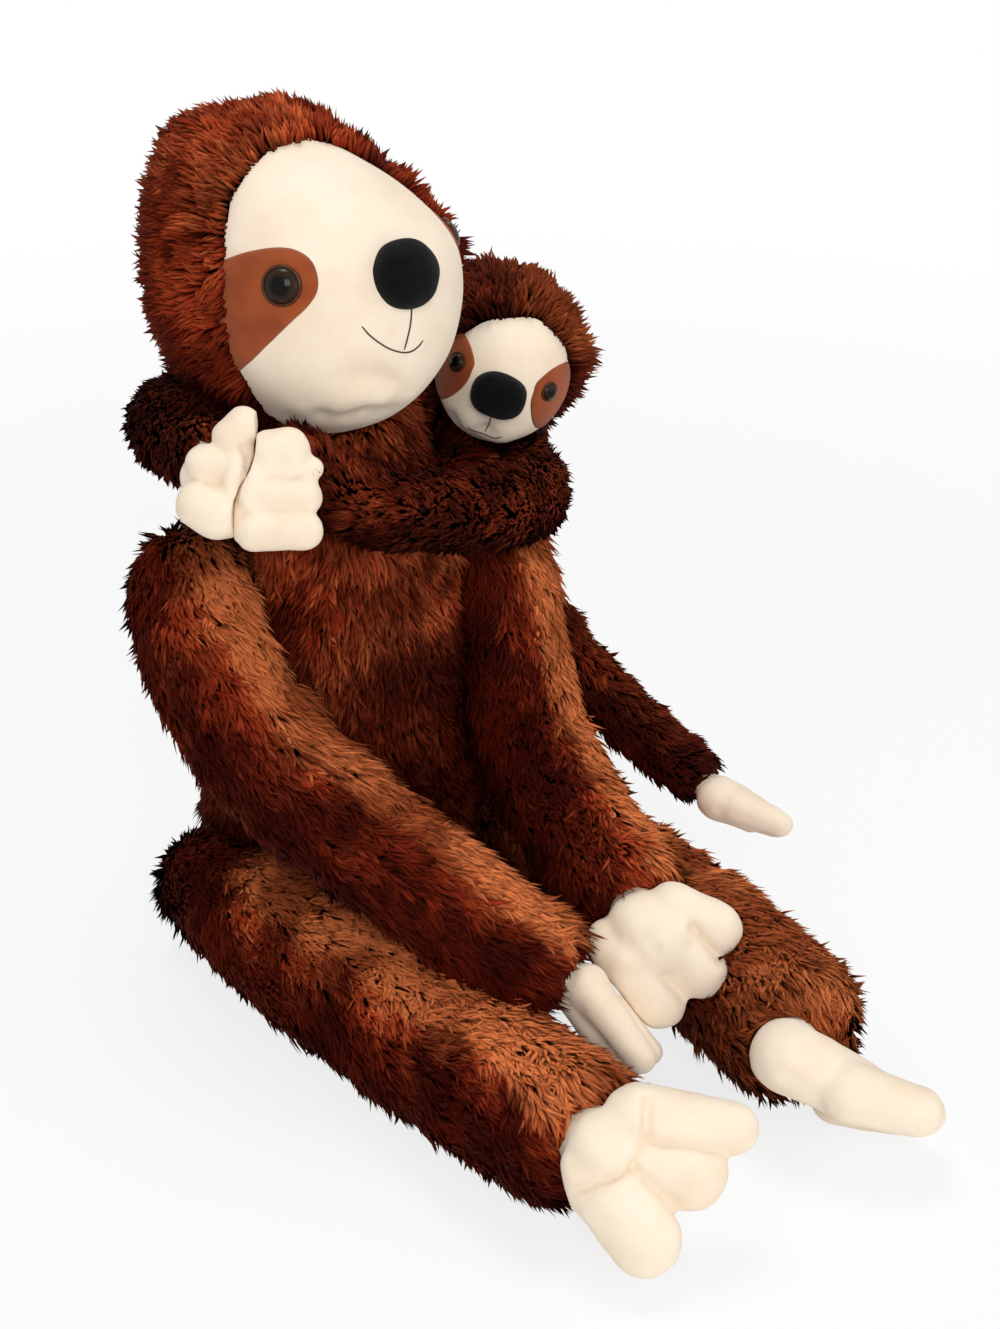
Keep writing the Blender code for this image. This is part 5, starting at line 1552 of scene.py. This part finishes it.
def make_floor():
    """A pale floor that a camera ray sees as white away from the object, and that keeps its shadow."""
    size = FLOOR_REACH
    points = [(-size, -size, -FLOOR_DROP), (size, -size, -FLOOR_DROP), (size, size, -FLOOR_DROP)]
    points.append((-size, size, -FLOOR_DROP))
    material, tree, shader = new_material("studio_floor", Roughness=0.9, Base_Color=rgba(0.9, 0.9, 0.9))
    far = vector_sum(tree, "LENGTH", {0: object_place(tree)}).outputs["Value"]
    factor = sum_of(tree, ranged(tree, far, *FLOOR_GLOW), seen_directly(tree))
    glow = add_node(tree, "ShaderNodeEmission", {"Color": rgba(1, 1, 1), "Strength": 1.0}).outputs[0]
    mix = add_node(tree, "ShaderNodeMixShader", {0: factor, 1: shader.outputs[0], 2: glow}).outputs[0]
    feed(tree, tree.nodes["Material Output"], {"Surface": mix})
    floor = mesh_piece("studio_floor", points, np.arange(4), np.array([4]))
    floor.data.materials.append(material)


def make_air():
    """Soft light from all round that a camera ray sees as white."""
    world = bpy.data.worlds.new("studio_air")
    bpy.context.scene.world = world
    world.use_nodes = True
    tree = world.node_tree
    tree.nodes.clear()
    fill, white = (
        add_node(tree, "ShaderNodeBackground", {"Color": rgba(1, 1, 1), "Strength": level}).outputs[0]
        for level in (AIR_GLOW, 1.0)
    )
    mix = add_node(tree, "ShaderNodeMixShader", {0: seen_directly(tree), 1: fill, 2: white}).outputs[0]
    add_node(tree, "ShaderNodeOutputWorld", {"Surface": mix})


def make_lamp(name, place, size, power):
    """A square lamp that looks at the object."""
    lamp = bpy.data.lights.new(name, "AREA")
    lamp.size = size
    lamp.energy = power
    holder = bpy.data.objects.new(name, lamp)
    bpy.context.scene.collection.objects.link(holder)
    holder.location = place
    holder.rotation_mode = "QUATERNION"
    holder.rotation_quaternion = (Vector(place) - Vector(LAMP_AIM)).to_track_quat("Z", "Y")


def make_camera():
    """The camera that took the photograph."""
    lens = bpy.data.cameras.new("camera")
    lens.sensor_width = SENSOR
    lens.lens = SENSOR * FOCAL_PIXELS / FRAME_LONG_SIDE
    lens.clip_start, lens.clip_end = CAMERA_CLIP
    camera = bpy.data.objects.new("camera", lens)
    bpy.context.scene.collection.objects.link(camera)
    back, right, up = camera_axes()
    turn = Matrix((right, up, back)).transposed()
    camera.matrix_world = Matrix.Translation(CAMERA_PLACE) @ turn.to_4x4()
    bpy.context.scene.camera = camera


make_camera()
make_air()
for lamp_values in LAMPS:
    make_lamp(*lamp_values)
make_floor()
bpy.context.scene.view_settings.view_transform = "Standard"
FINISHES.update(make_materials())
make_mother()
make_young()
finish_hidden_parts()
